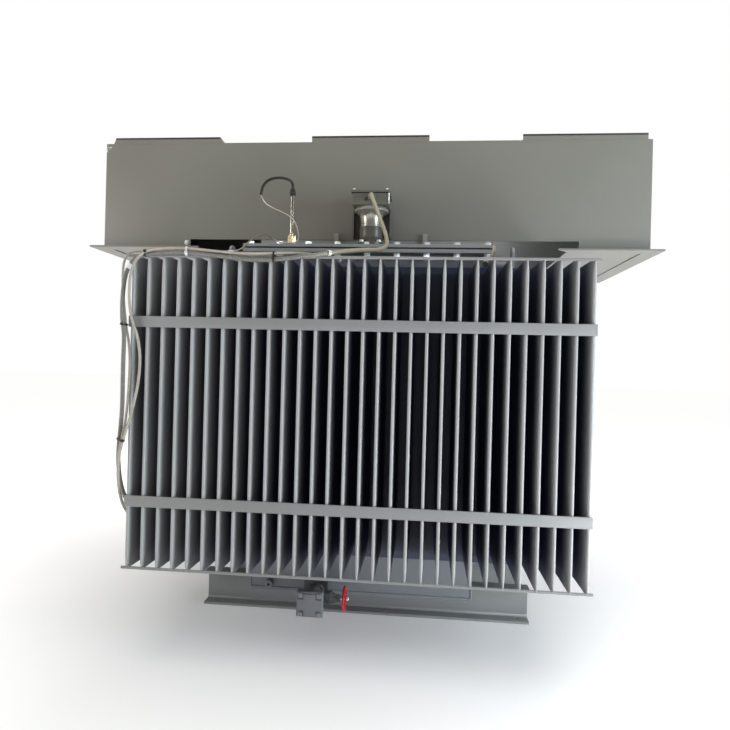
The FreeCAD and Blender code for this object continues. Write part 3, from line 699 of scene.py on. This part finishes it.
def folded_lid(name, node, left_slope, right_slope):
    """A shallow tray lid with rolled edges, a thin black strip along its front top edge and four fixings."""
    low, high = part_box(node)
    strip_height = 0.0058
    strip_depth = 0.004
    mesh = bmesh.new()
    outline = [(low.x, low.z), (high.x, low.z), (high.x - right_slope, high.z - 0.0006),
               (low.x + left_slope, high.z - 0.0006)]
    front = [mesh.verts.new((x, low.y + strip_depth * 0.3, z)) for x, z in outline]
    back = [mesh.verts.new((x, high.y, z)) for x, z in outline]
    mesh.faces.new(front)
    mesh.faces.new(back)
    for k in range(4):
        mesh.faces.new((front[k - 1], front[k], back[k], back[k - 1]))
    upper = [edge for edge in mesh.edges if min(vert.co.z for vert in edge.verts) > low.z + 0.001]
    bmesh.ops.bevel(mesh, geom=upper, offset=0.0022, segments=3, affect="EDGES", profile=0.5)
    add_piece(name, mesh, housing_grey, stands_for=(node,))
    # A thin black strip runs along the lid's front top edge.
    strip = bmesh.new()
    rounded_block(strip, ((low.x + left_slope + high.x - right_slope) / 2, low.y + strip_depth / 2,
                          high.z - strip_height / 2),
                  (high.x - low.x - left_slope - right_slope, strip_depth, strip_height), 0.0007, 2)
    add_piece(name + "_edge_strip", strip, black_rubber)
    screws = bmesh.new()
    for x in (low.x + 0.07, high.x - 0.07):
        for y in (low.y + 0.05, high.y - 0.05):
            washer(screws, (x, y, high.z - 0.0022), to_top, 0.009, 0.0014)
    add_piece(name + "_washers", screws, zinc)


folded_lid("left_lid", "left_roof_lid", 0.008, 0.014)
folded_lid("middle_lid", "middle_roof_lid", 0.0, 0.0)
folded_lid("right_lid", "right_roof_lid", 0.0, 0.0)

# A short pale run of sealer fills the seam at the front left top corner.
corner_sealer = painted("corner_sealer", (0.5, 0.5, 0.47), 0.5, 300.0, 0.2, 0.0)
sealer = bmesh.new()
sealer_runs = (((0.003, 0.014), (0.003, 0.032), 0.0024), ((0.003, 0.014), (0.022, 0.0115), 0.0016),
               ((0.005, 0.024), (0.020, 0.013), 0.0014))
for number, (start, end, radius) in enumerate(sealer_runs, 1):
    ends = [(box_left + right, box_front - 0.0004, box_top - down) for right, down in (start, end)]
    lay_bead(sealer, *ends, radius, number)
add_piece("corner_sealer", sealer, corner_sealer)

# The mouth's raw edges carry a pressed-on edging at their ends, and one bonding screw sits beside it.
edging = bmesh.new()
mouth_top = 1.318
for x in (mouth_left, mouth_right):
    ends = [Vector((x, box_front - 0.0008, z)) for z in (box_bottom + 0.002, mouth_top)]
    sweep(edging, [ends[0].lerp(ends[1], k / 8) for k in range(9)], lambda step: 0.0026, round_outline(10))
add_piece("mouth_edging", edging, housing_grey)
bonding_screw = bmesh.new()
screw_place = Vector((mouth_left - 0.012, box_front, 1.306))
washer(bonding_screw, screw_place, to_front, 0.009, 0.0015)
six_sided(bonding_screw, screw_place + Vector((0, -0.0015, 0)), to_front, 0.010, 0.005)
add_piece("housing_bonding_screw", bonding_screw, zinc)

# ------------------------------------------------------------------ protection relay
# The relay stands on a short flanged neck.  Its glazed chamber tapers up to a round collar, and a
# cast head above holds the switches, with a lid held by corner screws and a cable gland in front.
relay_grey = painted("relay_enamel", (0.118, 0.116, 0.095), 0.36, 420.0, 0.1, 0.1)
neck_grey = painted("relay_neck_enamel", (0.085, 0.08, 0.062), 0.34, 360.0, 0.12, 0.1)
collar_grey = painted("relay_collar_enamel", (0.25, 0.243, 0.21), 0.3, 420.0, 0.08, 0.1)
brushed = bright_metal("relay_metal", (0.42, 0.41, 0.35), 0.28, 160.0, (0.15, 0.15, 1.0), metal=0.75)
four_corners = [(side, depth) for side in (-1, 1) for depth in (-1, 1)]
neck_low, neck_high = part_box("relay_neck")
chamber_low, chamber_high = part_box("relay_chamber")
relay_head_low, relay_head_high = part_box("relay_head")
relay_x = (neck_low.x + neck_high.x) / 2
relay_y = (neck_low.y + neck_high.y) / 2
relay_foot = (relay_x, relay_y, neck_low.z)
neck_tall = neck_high.z - neck_low.z
neck = bmesh.new()
turn_up(neck, relay_foot, to_top, [
    (0.0, 0.0435), (0.0006, 0.0439), (0.0112, 0.0439), (0.012, 0.0432), (0.0125, 0.0325), (0.015, 0.0315),
    (0.020, 0.0328), (0.026, 0.0362), (0.030, 0.0378), (neck_tall - 0.008, 0.0382),
    (neck_tall - 0.0015, 0.0382), (neck_tall, 0.0365)], 56)
add_piece("relay_flanged_neck", neck, neck_grey, stands_for=("relay_neck",))

neck_bolts = bmesh.new()
bolt_circle = 0.0405
for k in range(4):
    angle = math.pi / 4 + math.pi / 2 * k
    spot = Vector((relay_x + bolt_circle * math.cos(angle), relay_y + bolt_circle * math.sin(angle),
                   neck_low.z + 0.012))
    washer(neck_bolts, spot, to_top, 0.0085, 0.0016)
    six_sided(neck_bolts, spot + Vector((0, 0, 0.0016)), to_top, 0.013, 0.0055)
add_piece("relay_neck_bolts", neck_bolts, zinc)

chamber = bmesh.new()
chamber_foot = (relay_x, relay_y, chamber_low.z)
turn_up(chamber, chamber_foot, to_top, [
    (0.0, 0.0355), (0.0006, 0.036), (0.0025, 0.036), (0.003, 0.0352), (0.012, 0.0352), (0.021, 0.0355),
    (0.029, 0.0364), (0.035, 0.038), (0.040, 0.0404), (0.044, 0.0434), (0.0475, 0.047),
    (0.0500, 0.0505), (0.0506, 0.0515)], 72)
add_piece("relay_flared_chamber", chamber, brushed, stands_for=("relay_chamber",))
collar = bmesh.new()
chamber_tall = chamber_high.z - chamber_low.z
turn_up(collar, chamber_foot, to_top, [
    (0.0500, 0.0515), (0.0500, 0.0545), (0.0512, 0.0566), (0.0535, 0.057), (0.0575, 0.057),
    (0.059, 0.0562), (chamber_tall - 0.002, 0.054), (chamber_tall, 0.0515)], 72)
add_piece("relay_collar", collar, collar_grey)

head_front = relay_head_low.y + 0.016
head_size = Vector((relay_head_high.x - relay_head_low.x, relay_head_high.y - head_front,
                    relay_head_high.z - relay_head_low.z))
head_middle = Vector((relay_x, (head_front + relay_head_high.y) / 2,
                      (relay_head_low.z + relay_head_high.z) / 2))
head_screw_x, head_screw_y = head_size.x / 2 - 0.010, head_size.y / 2 - 0.010
head = bmesh.new()
lid_thick = 0.009
split = head_middle.z + head_size.z / 2 - lid_thick
lower_size = Vector((head_size.x - 0.006, head_size.y - 0.005, head_size.z - lid_thick - 0.0012))
rounded_block(head, (head_middle.x, head_middle.y, relay_head_low.z + lower_size.z / 2), lower_size, 0.005, 4)
rounded_block(head, (head_middle.x, head_middle.y, split + lid_thick / 2),
              (head_size.x, head_size.y, lid_thick), 0.0016)
for side, depth in four_corners:
    post = (head_middle.x + side * head_screw_x, head_middle.y + depth * head_screw_y,
            relay_head_low.z + 0.001)
    turn_up(head, post, to_top, [(0.0, 0.0055), (0.002, 0.0062), (lower_size.z - 0.002, 0.0062)], 20)
add_piece("relay_cast_head", head, relay_grey, stands_for=("relay_head",))
lid_seal = bmesh.new()
rounded_block(lid_seal, (head_middle.x, head_middle.y, split - 0.0006),
              (head_size.x - 0.003, head_size.y - 0.003, 0.0016), 0.0004, 1)
add_piece("relay_lid_seal", lid_seal, black_rubber)
head_screws = bmesh.new()
for side, depth in four_corners:
    spot = (head_middle.x + side * head_screw_x, head_middle.y + depth * head_screw_y,
            relay_head_high.z - 0.0005)
    turn_up(head_screws, spot, to_top, [
        (0.0, 0.0048), (0.0042, 0.0048), (0.0054, 0.0038), (0.0054, 0.0022), (0.0034, 0.002),
        (0.0034, 0.0002)], 20)
hinge_place = (head_middle.x + head_size.x / 2 - 0.0035, head_front + 0.0016, relay_head_low.z + 0.004)
turn_up(head_screws, hinge_place, to_top, [
    (0.0, 0.0016), (0.001, 0.0024), (0.010, 0.0024), (0.0104, 0.002), (0.011, 0.0024), (0.024, 0.0024),
    (0.0244, 0.002), (0.025, 0.0024), (0.034, 0.0024), (0.035, 0.0016)], 16)
add_piece("relay_screws", head_screws, zinc)
spare_entry = bmesh.new()
turn_up(spare_entry, (relay_x - 0.013, head_front + 0.0035, relay_head_low.z + 0.019), to_front, [
    (0.0, 0.0058), (0.0022, 0.0058), (0.003, 0.0052), (0.003, 0.0034), (0.0008, 0.003), (0.0008, 0.0002)], 24)
add_piece("relay_blanking_plug", spare_entry, black_rubber)

gland_middle = Vector((relay_x + 0.004, head_front, relay_head_low.z + 0.026))
gland = bmesh.new()
six_sided(gland, gland_middle + Vector((0, 0.0025, 0)), to_front, 0.0205, 0.0085, 0.001)
turn_up(gland, gland_middle + Vector((0, -0.006, 0)), to_front, [
    (0.0, 0.0098), (0.0012, 0.0105), (0.0065, 0.0105), (0.0085, 0.0098), (0.01, 0.0086)], 28)
add_piece("relay_cable_gland", gland, brushed)

guard_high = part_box("relay_guard")[1]
dress_node("relay_guard", relay_grey, 0.0009)
guard_screws = bmesh.new()
for side in (-1, 1):
    spot = Vector((relay_x + side * (head_size.x / 2 - 0.0002), guard_high.y - 0.023, guard_high.z - 0.020))
    turn_up(guard_screws, spot - Vector((side * 0.002, 0, 0)), (side, 0, 0),
            [(0.0, 0.004), (0.0018, 0.004), (0.002, 0.0036)], 18)
add_piece("relay_guard_screws", guard_screws, zinc)

# ------------------------------------------------------------------ thermometer
# A brass pocket is screwed into the cover: a hexagon, a ferrule and a thin tube.  A rubber boot and
# a black sleeve protect the capillary's first bend, and the capillary runs on to the conduits.
brass = bright_metal("brass", (0.72, 0.6, 0.38), 0.24, 240.0, (1.0, 1.0, 0.2))
nickel = bright_metal("nickel_tube", (0.72, 0.67, 0.55), 0.2, 240.0, (1.0, 1.0, 0.08))
capillary_metal = bright_metal("capillary_metal", (0.5, 0.47, 0.38), 0.4, 400.0, (1.0, 1.0, 1.0))
pocket_low, pocket_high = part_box("thermometer_pocket")
pocket_x = (pocket_low.x + pocket_high.x) / 2
pocket_y = (pocket_low.y + pocket_high.y) / 2
pocket = bmesh.new()
turn_up(pocket, (pocket_x, pocket_y, pocket_low.z), to_top, [
    (0.0, 0.0148), (0.0008, 0.0154), (0.0042, 0.0154), (0.005, 0.0146)], 36)
six_sided(pocket, (pocket_x, pocket_y, pocket_low.z + 0.005), to_top, 0.0262, 0.0305, 0.0018)
turn_up(pocket, (pocket_x, pocket_y, pocket_low.z + 0.0354), to_top, [
    (0.0, 0.0078), (0.001, 0.0085), (0.0066, 0.0085), (0.0086, 0.0072)], 32)
add_piece("thermometer_brass_pocket", pocket, brass, stands_for=("thermometer_pocket",))
pocket_tube = bmesh.new()
ferrule_top = 0.0435
tube_long = pocket_high.z - pocket_low.z - ferrule_top
turn_up(pocket_tube, (pocket_x, pocket_y, pocket_low.z + ferrule_top), to_top, [
    (0.0, 0.0067), (tube_long * 0.45, 0.0067), (tube_long * 0.452, 0.0061), (tube_long * 0.458, 0.0061),
    (tube_long * 0.46, 0.0067), (tube_long, 0.0067)], 28)
add_piece("thermometer_tube", pocket_tube, nickel)

black_sleeve = rubbery("black_sleeve", (0.012, 0.013, 0.01), 0.45)
boot_foot = Vector((pocket_x, pocket_y, pocket_high.z - 0.002))
sleeve_route = [(-0.259, -0.310, 1.472), (-0.259, -0.310, 1.492), (-0.284, -0.310, 1.505),
                (-0.316, -0.310, 1.508), (-0.347, -0.310, 1.499), (-0.365, -0.311, 1.475),
                (-0.368, -0.312, 1.448)]
boot = bmesh.new()
turn_up(boot, boot_foot, to_top, [
    (0.0, 0.0082), (0.0008, 0.0094), (0.007, 0.0094), (0.008, 0.0088), (0.009, 0.0094), (0.016, 0.009),
    (0.024, 0.0066), (0.0275, 0.005), (0.0276, 0.0046)], 32)
sweep(boot, smooth_line(sleeve_route, 0.004), lambda step: 0.0044, round_outline(16))
add_piece("thermometer_boot_and_sleeve", boot, black_sleeve,
          stands_for=("thermometer_boot",))

capillary_route = [(-0.368, -0.312, 1.449), (-0.358, -0.314, 1.424), (-0.327, -0.319, 1.403),
                   (-0.290, -0.323, 1.387), (-0.260, -0.325, 1.371), (-0.242, -0.325, 1.350),
                   (-0.234, -0.324, 1.324), (-0.231, -0.326, 1.298), (-0.238, -0.338, 1.282),
                   (-0.262, -0.349, 1.279), (-0.293, -0.351, 1.280), (-0.313, -0.359, 1.292),
                   (-0.325, -0.388, 1.299), (-0.332, -0.440, 1.286), (-0.337, -0.500, 1.262),
                   (-0.340, -0.560, 1.234), (-0.341, -0.602, 1.209), (-0.360, -0.627, 1.198)]
capillary = bmesh.new()
sweep(capillary, smooth_line(capillary_route, 0.004), lambda step: 0.0019, round_outline(12))
add_piece("thermometer_capillary", capillary, capillary_metal, stands_for=("capillary",))

# ------------------------------------------------------------------ drain valve
# A cast-iron gate valve on the tank's drain pipe, closed in front by a blank flange with four bolts.
# Its bonnet and stem lie sideways, with a red five-spoked handwheel held by a nut.
cast_iron = painted("valve_enamel", (0.045, 0.05, 0.055), 0.5, 260.0, 0.3, 0.3)
blank_paint = painted("blank_enamel", (0.15, 0.158, 0.17), 0.45, 420.0, 0.12, 0.1)
red_enamel = painted("red_enamel", (0.45, 0.012, 0.02), 0.28, 420.0, 0.12, 0.05)
pipe_low, pipe_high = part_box("drain_pipe")
valve_x = (pipe_low.x + pipe_high.x) / 2
valve_z = (pipe_low.z + pipe_high.z) / 2
pipe_radius = (pipe_high.z - pipe_low.z) / 2
pipe_long = pipe_high.y - pipe_low.y
drain_pipe = bmesh.new()
turn_up(drain_pipe, (valve_x, pipe_high.y, valve_z), to_front, [
    (0.0, pipe_radius + 0.003), (0.002, pipe_radius + 0.0028), (0.004, pipe_radius),
    (pipe_long - 0.004, pipe_radius), (pipe_long - 0.002, pipe_radius + 0.002),
    (pipe_long, pipe_radius + 0.0022)], 40)
add_piece("welded_drain_pipe", drain_pipe, tank_grey, stands_for=("drain_pipe",))

body_low, body_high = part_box("drain_valve_body")
body_long = body_high.y - body_low.y
flange_thick = 0.012
flange_side = 0.080
valve_body = bmesh.new()
turn_up(valve_body, (valve_x, body_high.y, valve_z), to_front, [
    (flange_thick - 0.001, 0.0305), (flange_thick + 0.004, 0.0265), (0.03, 0.0262), (0.036, 0.0305),
    (body_long - 0.036, 0.0305), (body_long - 0.03, 0.0262), (body_long - flange_thick - 0.004, 0.0265),
    (body_long - flange_thick + 0.001, 0.0305)], 40)
for y in (body_high.y - flange_thick / 2, body_low.y + flange_thick / 2):
    rounded_block(valve_body, (valve_x, y, valve_z), (flange_side, flange_thick, flange_side), 0.004)
valve_mid_y = (body_high.y + body_low.y) / 2
turn_up(valve_body, (valve_x, valve_mid_y, valve_z), to_right, [
    (0.0, 0.0215), (0.036, 0.0215), (0.0365, 0.0212), (0.040, 0.0218), (0.0475, 0.0218), (0.048, 0.0208),
    (0.050, 0.0208), (0.0505, 0.0218), (0.057, 0.0218), (0.0595, 0.019), (0.066, 0.0152), (0.072, 0.0128),
    (0.073, 0.0118), (0.086, 0.0118), (0.086, 0.0056), (0.0722, 0.0056)], 36)
add_piece("valve_casting", valve_body, cast_iron, stands_for=("drain_valve_body",))

dull_zinc = bright_metal("dull_zinc", (0.2, 0.22, 0.24), 0.45, metal=0.4)
bonnet_bolts = bmesh.new()
bonnet_circle = 0.0168
flange_bolt_out = 0.0285
nut_long = 0.0075
for k in range(4):
    angle = math.pi / 4 + math.pi / 2 * k
    spot = (valve_x + 0.0585, valve_mid_y + bonnet_circle * math.cos(angle),
            valve_z + bonnet_circle * math.sin(angle))
    six_sided(bonnet_bolts, spot, to_right, 0.0075, 0.0045, 0.0005)
blank_low, blank_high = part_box("drain_blank")
pad = 0.0052
for side, up in four_corners:
    bolt_x, bolt_z = valve_x + side * flange_bolt_out, valve_z + up * flange_bolt_out
    six_sided(bonnet_bolts, (bolt_x, blank_low.y + pad, bolt_z), to_front, 0.0145, 0.005, 0.0006,
              twist=side + up * 0.3)
    back = Vector((bolt_x, body_low.y + flange_thick, bolt_z))
    six_sided(bonnet_bolts, back, (0, 1, 0), 0.0145, nut_long, 0.0006)
    screw_end(bonnet_bolts, back + Vector((0, nut_long, 0)), (0, 1, 0), 0.0045, 0.005)
add_piece("valve_bolts", bonnet_bolts, dull_zinc)

blank = bmesh.new()
blank_size = blank_high - blank_low
rounded_block(blank, (valve_x, (blank_low.y + blank_high.y + pad) / 2, valve_z),
              (blank_size.x, blank_size.y - pad, blank_size.z), 0.0035)
for sunk, wide, tall in ((0.0004, 0.037, blank_size.z - 0.012), (0.0006, blank_size.x - 0.008, 0.034)):
    rounded_block(blank, (valve_x, blank_low.y + pad / 2 + sunk, valve_z), (wide, pad - 0.0002, tall), 0.0014)
add_piece("valve_blank_flange", blank, blank_paint, stands_for=("drain_blank",))

wheel_low, wheel_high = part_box("drain_handwheel")
wheel_middle = Vector(((wheel_low.x + wheel_high.x) / 2, (wheel_low.y + wheel_high.y) / 2,
                       (wheel_low.z + wheel_high.z) / 2))
wheel_reach = (wheel_high.z - wheel_low.z) / 2
rim_radius = 0.0045
rim_line = wheel_reach - rim_radius
wheel = bmesh.new()
rim_rings = []
rim_steps = 60
for k in range(rim_steps):
    angle = 2 * math.pi * k / rim_steps
    grip = rim_radius * (1.0 - 0.10 * (0.5 + 0.5 * math.cos(15 * angle)))
    outward = Vector((0, math.cos(angle), math.sin(angle)))
    line_spot = wheel_middle + outward * rim_line
    rim_rings.append(ring_round(wheel, line_spot, grip, outward, Vector(to_right), 14))
bridge(wheel, rim_rings[-1:] + rim_rings, capped=False)
hub_half = (wheel_high.x - wheel_low.x) / 2
turn_up(wheel, wheel_middle - Vector((hub_half, 0, 0)), to_right, [
    (0.0, 0.0085), (0.001, 0.0098), (2 * hub_half - 0.002, 0.0095), (2 * hub_half, 0.0075),
    (2 * hub_half, 0.0054), (0.0, 0.0054)], 28)
for k in range(5):
    angle = 2 * math.pi * k / 5
    outward = Vector((0, -math.sin(angle), math.cos(angle)))
    spoke = [wheel_middle + outward * (0.008 + (rim_line - 0.008) * j / 6) for j in range(7)]
    oval = [(0.0026 * a, 0.0042 * b) for a, b in round_outline(12)]
    first_side = (spoke[1] - spoke[0]).orthogonal().normalized()
    if abs(first_side.x) < 0.5:
        oval = [(b, a) for a, b in oval]
    sweep(wheel, spoke, lambda step: 1.25 - 0.25 * min(step, 6 - step) / 3, oval)
add_piece("red_handwheel", wheel, red_enamel, "drain_wheel", ("drain_handwheel",))

stem_low, stem_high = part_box("drain_stem")
stem = bmesh.new()
stem_long = stem_high.x - stem_low.x
stem_foot = Vector((stem_low.x, wheel_middle.y, wheel_middle.z))
past_hub = wheel_high.x - stem_low.x
turn_up(stem, stem_foot, to_right, [
    (0.0, 0.005), (past_hub - 2 * hub_half - 0.001, 0.005), (past_hub - 2 * hub_half, 0.0048),
    (past_hub + 0.0002, 0.0048), (past_hub + 0.0004, 0.0036), (stem_long - 0.0008, 0.0036),
    (stem_long, 0.003)], 24)
six_sided(stem, stem_foot + Vector((past_hub + 0.0003, 0, 0)), to_right, 0.0112, 0.005, 0.0006)
add_piece("valve_stem_and_nut", stem, zinc, "drain_wheel", ("drain_stem",))

# ------------------------------------------------------------------ conduits and terminal box
# Three flexible steel conduits in grey plastic carry the relay's and thermometer's leads.  They are
# tied along the front edge and down the left corner, and end in a box on the left lower strap.
def plastic_coat(name, colour, gloss, painted_lit_colour=None):
    """PVC skin on a wound conduit: semi-matt and scuffed; if told, paler and warmer towards the relay end and
    darker grey to the left, as painted light and shade.
    """
    look, tree, shader, place = new_look(name)
    scuffs = noise(tree, place, 60.0, 9.0)
    skin = shades(tree, scuffs, colour, 0.72, 1.3)
    if painted_lit_colour:
        # Painted light and shade: paler and warmer towards the relay end, darker grey to the left.
        run = add_node(tree, "SeparateXYZ", "X", {"Vector": place})
        painted_light_share = add_node(tree, "MapRange", "Result", {"Value": run, "From Min": -0.16, "From Max": -0.02})
        skin = blend(tree, painted_light_share, skin, (*painted_lit_colour, 1.0))
    dress_shader(tree, shader, skin, scuffs, (gloss - 0.06, gloss + 0.14))
    return look


# The relay conduit's colour turns paler and warmer towards the relay: painted light from above.
large_skin = plastic_coat("large_conduit_skin_with_painted_light", (0.17, 0.168, 0.155), 0.32, (0.36, 0.325, 0.23))
small_skin = plastic_coat("small_conduit_skin", (0.38, 0.352, 0.3), 0.3)
large_route = [
    (0.012, -0.374, 1.430), (0.012, -0.401, 1.430), (0.031, -0.421, 1.384), (0.051, -0.428, 1.332),
    (0.070, -0.440, 1.283), (0.074, -0.462, 1.248), (0.050, -0.494, 1.231), (0.014, -0.534, 1.224),
    (-0.025, -0.586, 1.211), (-0.075, -0.637, 1.195), (-0.148, -0.642, 1.184), (-0.225, -0.642, 1.174),
    (-0.300, -0.642, 1.172), (-0.370, -0.642, 1.180), (-0.440, -0.642, 1.187), (-0.500, -0.642, 1.192),
    (-0.560, -0.642, 1.191), (-0.612, -0.642, 1.186), (-0.648, -0.643, 1.172), (-0.668, -0.644, 1.138),
    (-0.676, -0.645, 1.090), (-0.677, -0.647, 1.035), (-0.674, -0.650, 0.995), (-0.666, -0.651, 0.953),
    (-0.668, -0.650, 0.893), (-0.670, -0.646, 0.820), (-0.671, -0.642, 0.745), (-0.676, -0.640, 0.680),
    (-0.685, -0.632, 0.620), (-0.692, -0.616, 0.565), (-0.695, -0.592, 0.505), (-0.696, -0.556, 0.455),
    (-0.698, -0.500, 0.428), (-0.703, -0.435, 0.425), (-0.706, -0.370, 0.430), (-0.706, -0.300, 0.430)]
small_route = [
    (-0.095, -0.3195, 1.228), (-0.095, -0.362, 1.228), (-0.099, -0.415, 1.220), (-0.106, -0.470, 1.210),
    (-0.114, -0.530, 1.204), (-0.130, -0.586, 1.199), (-0.168, -0.626, 1.196), (-0.225, -0.640, 1.193),
    (-0.300, -0.641, 1.190), (-0.370, -0.640, 1.193), (-0.440, -0.640, 1.200), (-0.500, -0.640, 1.205),
    (-0.560, -0.642, 1.204), (-0.606, -0.651, 1.197), (-0.633, -0.657, 1.172), (-0.650, -0.657, 1.130),
    (-0.655, -0.652, 1.080), (-0.653, -0.650, 1.030), (-0.643, -0.650, 0.988), (-0.626, -0.649, 0.945),
    (-0.619, -0.646, 0.890), (-0.622, -0.643, 0.835), (-0.631, -0.643, 0.775), (-0.645, -0.645, 0.715),
    (-0.659, -0.652, 0.660), (-0.671, -0.655, 0.605), (-0.680, -0.643, 0.550), (-0.686, -0.620, 0.495),
    (-0.688, -0.587, 0.440), (-0.690, -0.530, 0.396), (-0.698, -0.460, 0.378), (-0.706, -0.385, 0.375),
    (-0.706, -0.300, 0.375)]
medium_route = [
    (-0.360, -0.627, 1.198), (-0.405, -0.627, 1.197), (-0.455, -0.626, 1.198), (-0.512, -0.627, 1.200),
    (-0.568, -0.628, 1.198), (-0.618, -0.627, 1.197), (-0.660, -0.626, 1.199), (-0.685, -0.627, 1.177),
    (-0.688, -0.628, 1.124), (-0.683, -0.630, 1.068), (-0.676, -0.632, 1.018), (-0.669, -0.636, 0.975),
    (-0.658, -0.639, 0.935), (-0.653, -0.639, 0.885), (-0.653, -0.640, 0.825), (-0.656, -0.640, 0.760),
    (-0.661, -0.641, 0.700), (-0.668, -0.646, 0.655), (-0.678, -0.645, 0.608), (-0.685, -0.628, 0.555),
    (-0.688, -0.604, 0.500), (-0.690, -0.566, 0.450), (-0.690, -0.515, 0.412), (-0.699, -0.450, 0.401),
    (-0.706, -0.380, 0.402), (-0.706, -0.300, 0.402)]


def ribbed_conduit(name, route, radius, rib, skin, node):
    """A wound conduit: every rib is one turn of its strip, with a narrow groove between turns."""
    mesh = bmesh.new()
    groove = (1.0, 1.0, 0.8)
    sweep(mesh, smooth_line(route, rib / 3), lambda step: radius * groove[step % 3], round_outline(12))
    return add_piece(name, mesh, skin, stands_for=(node,))


large_radius = 0.0066
small_radius = 0.0044
medium_radius = 0.0039
ribbed_conduit("relay_conduit", large_route, large_radius, 0.0064, large_skin, "conduit_large")
ribbed_conduit("tank_conduit", small_route, small_radius, 0.0045, small_skin, "conduit_small")
ribbed_conduit("thermometer_conduit", medium_route, medium_radius, 0.0034, small_skin, "conduit_medium")

ferrules = bmesh.new()
turn_up(ferrules, (-0.356, -0.627, 1.198), (-1, 0, 0), [
    (0.0, 0.0026), (0.001, 0.0046), (0.016, 0.0046), (0.017, 0.0041)], 24)
entry_nut = 0.007
six_sided(ferrules, small_route[0], to_front, 0.016, entry_nut, 0.0008)
turn_up(ferrules, Vector(small_route[0]) - Vector((0, entry_nut, 0)), to_front, [
    (0.0, 0.0068), (0.012, 0.0068), (0.014, 0.0054)], 24)
add_piece("conduit_ferrules", ferrules, zinc)


def cable_tie(mesh, place, lines, along, width=0.0055):
    """A strap pulled round the conduits that pass a place, with its square head."""
    place, along = Vector(place), Vector(along).normalized()
    side, up = across(along)
    strands = []
    for points, radius in lines:
        offset = min(points, key=lambda point: (point - place).length) - place
        strands.append((offset.dot(side), offset.dot(up), radius + 0.0006))

    def reach(angle):
        return max(a * math.cos(angle) + b * math.sin(angle) + radius for a, b, radius in strands)

    steps = 48
    gap = 2 * math.pi / steps
    hull = []
    for angle in (gap * k for k in range(steps)):
        slope = (reach(angle + gap) - reach(angle) * math.cos(gap)) / math.sin(gap)
        hull.append((reach(angle) * math.cos(angle) - slope * math.sin(angle),
                     reach(angle) * math.sin(angle) + slope * math.cos(angle)))
    rings = []
    for a, b in hull:
        out = Vector((a, b)).normalized() * 0.0012
        rings.append([mesh.verts.new(place + side * (a + lift * out.x) + up * (b + lift * out.y)
                                     + along * width * shift)
                      for lift, shift in ((0, -0.5), (1, -0.5), (1, 0.5), (0, 0.5))])
    bridge(mesh, rings[-1:] + rings, capped=False)
    foremost = min((place + side * a + up * b for a, b in hull), key=lambda spot: spot.y)
    rounded_block(mesh, foremost, (0.0075, 0.006, 0.0075), 0.001, 2)


large_line = (smooth_line(large_route, 0.004), large_radius)
small_line = (smooth_line(small_route, 0.004), small_radius)
medium_line = (smooth_line(medium_route, 0.004), medium_radius)
ties = bmesh.new()
cable_tie(ties, (-0.235, -0.641, 1.182), (large_line, small_line), (1, 0, 0.05))
cable_tie(ties, (-0.610, -0.645, 1.191), (large_line, small_line), (1, 0, -0.3))
cable_tie(ties, (-0.668, -0.641, 0.982), (large_line, medium_line), (0.15, 0, 1))
cable_tie(ties, (-0.672, -0.644, 0.648), (large_line, medium_line, small_line), (0.15, 0, 1))
add_piece("cable_ties", ties, black_sleeve)

clips = bmesh.new()
cable_tie(clips, (-0.490, -0.640, 1.197), (large_line, small_line, medium_line), (1, 0, 0.05), 0.006)
cable_tie(clips, (-0.075, -0.636, 1.194), (large_line,), (1, 1, 0.1), 0.009)
add_piece("conduit_clips", clips, zinc)

white_plastic = plastic_coat("white_plastic", (0.85, 0.85, 0.82), 0.4)
marker = bmesh.new()
spots = [point for point in large_line[0] if (point - Vector((-0.662, -0.643, 1.152))).length < 0.011]
sweep(marker, spots, lambda step: 0.0074, round_outline(20))
add_piece("blank_cable_marker", marker, white_plastic)

case_low, case_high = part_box("terminal_box")
case_middle = (case_low + case_high) / 2
case_size = case_high - case_low
case = bmesh.new()
lid_deep = 0.012
rounded_block(case, (case_middle.x + lid_deep / 2 + 0.001, case_middle.y, case_middle.z),
              (case_size.x - lid_deep - 0.002, case_size.y, case_size.z), 0.004)
rounded_block(case, (case_low.x + lid_deep / 2, case_middle.y, case_middle.z),
              (lid_deep, case_size.y, case_size.z), 0.003)
add_piece("terminal_box_case", case, relay_grey, stands_for=("terminal_box",))
case_seal = bmesh.new()
rounded_block(case_seal, (case_low.x + lid_deep + 0.001, case_middle.y, case_middle.z),
              (0.003, case_size.y - 0.004, case_size.z - 0.004), 0.0005, 1)
add_piece("terminal_box_seal", case_seal, black_rubber)
case_fittings = bmesh.new()
for route, radius in ((large_route, 0.0105), (small_route, 0.0078), (medium_route, 0.0072)):
    end = Vector(route[-1])
    six_sided(case_fittings, end, to_front, radius * 2, 0.007, 0.0008)
    turn_up(case_fittings, end + Vector((0, -0.007, 0)), to_front, [
        (0.0, radius * 0.9), (0.007, radius * 0.9), (0.010, radius * 0.72)], 24)
add_piece("terminal_box_glands", case_fittings, brushed)
case_screws = bmesh.new()
screw_inset = 0.012
for depth, up in four_corners:
    spot = (case_low.x + 0.0012, case_middle.y + depth * (case_size.y / 2 - screw_inset),
            case_middle.z + up * (case_size.z / 2 - screw_inset))
    turn_up(case_screws, spot, (-1, 0, 0), [
        (0.0, 0.0042), (0.001, 0.0042), (0.0011, 0.0026), (0.0001, 0.0022), (0.0001, 0.0002)], 20)
add_piece("terminal_box_screws", case_screws, zinc)
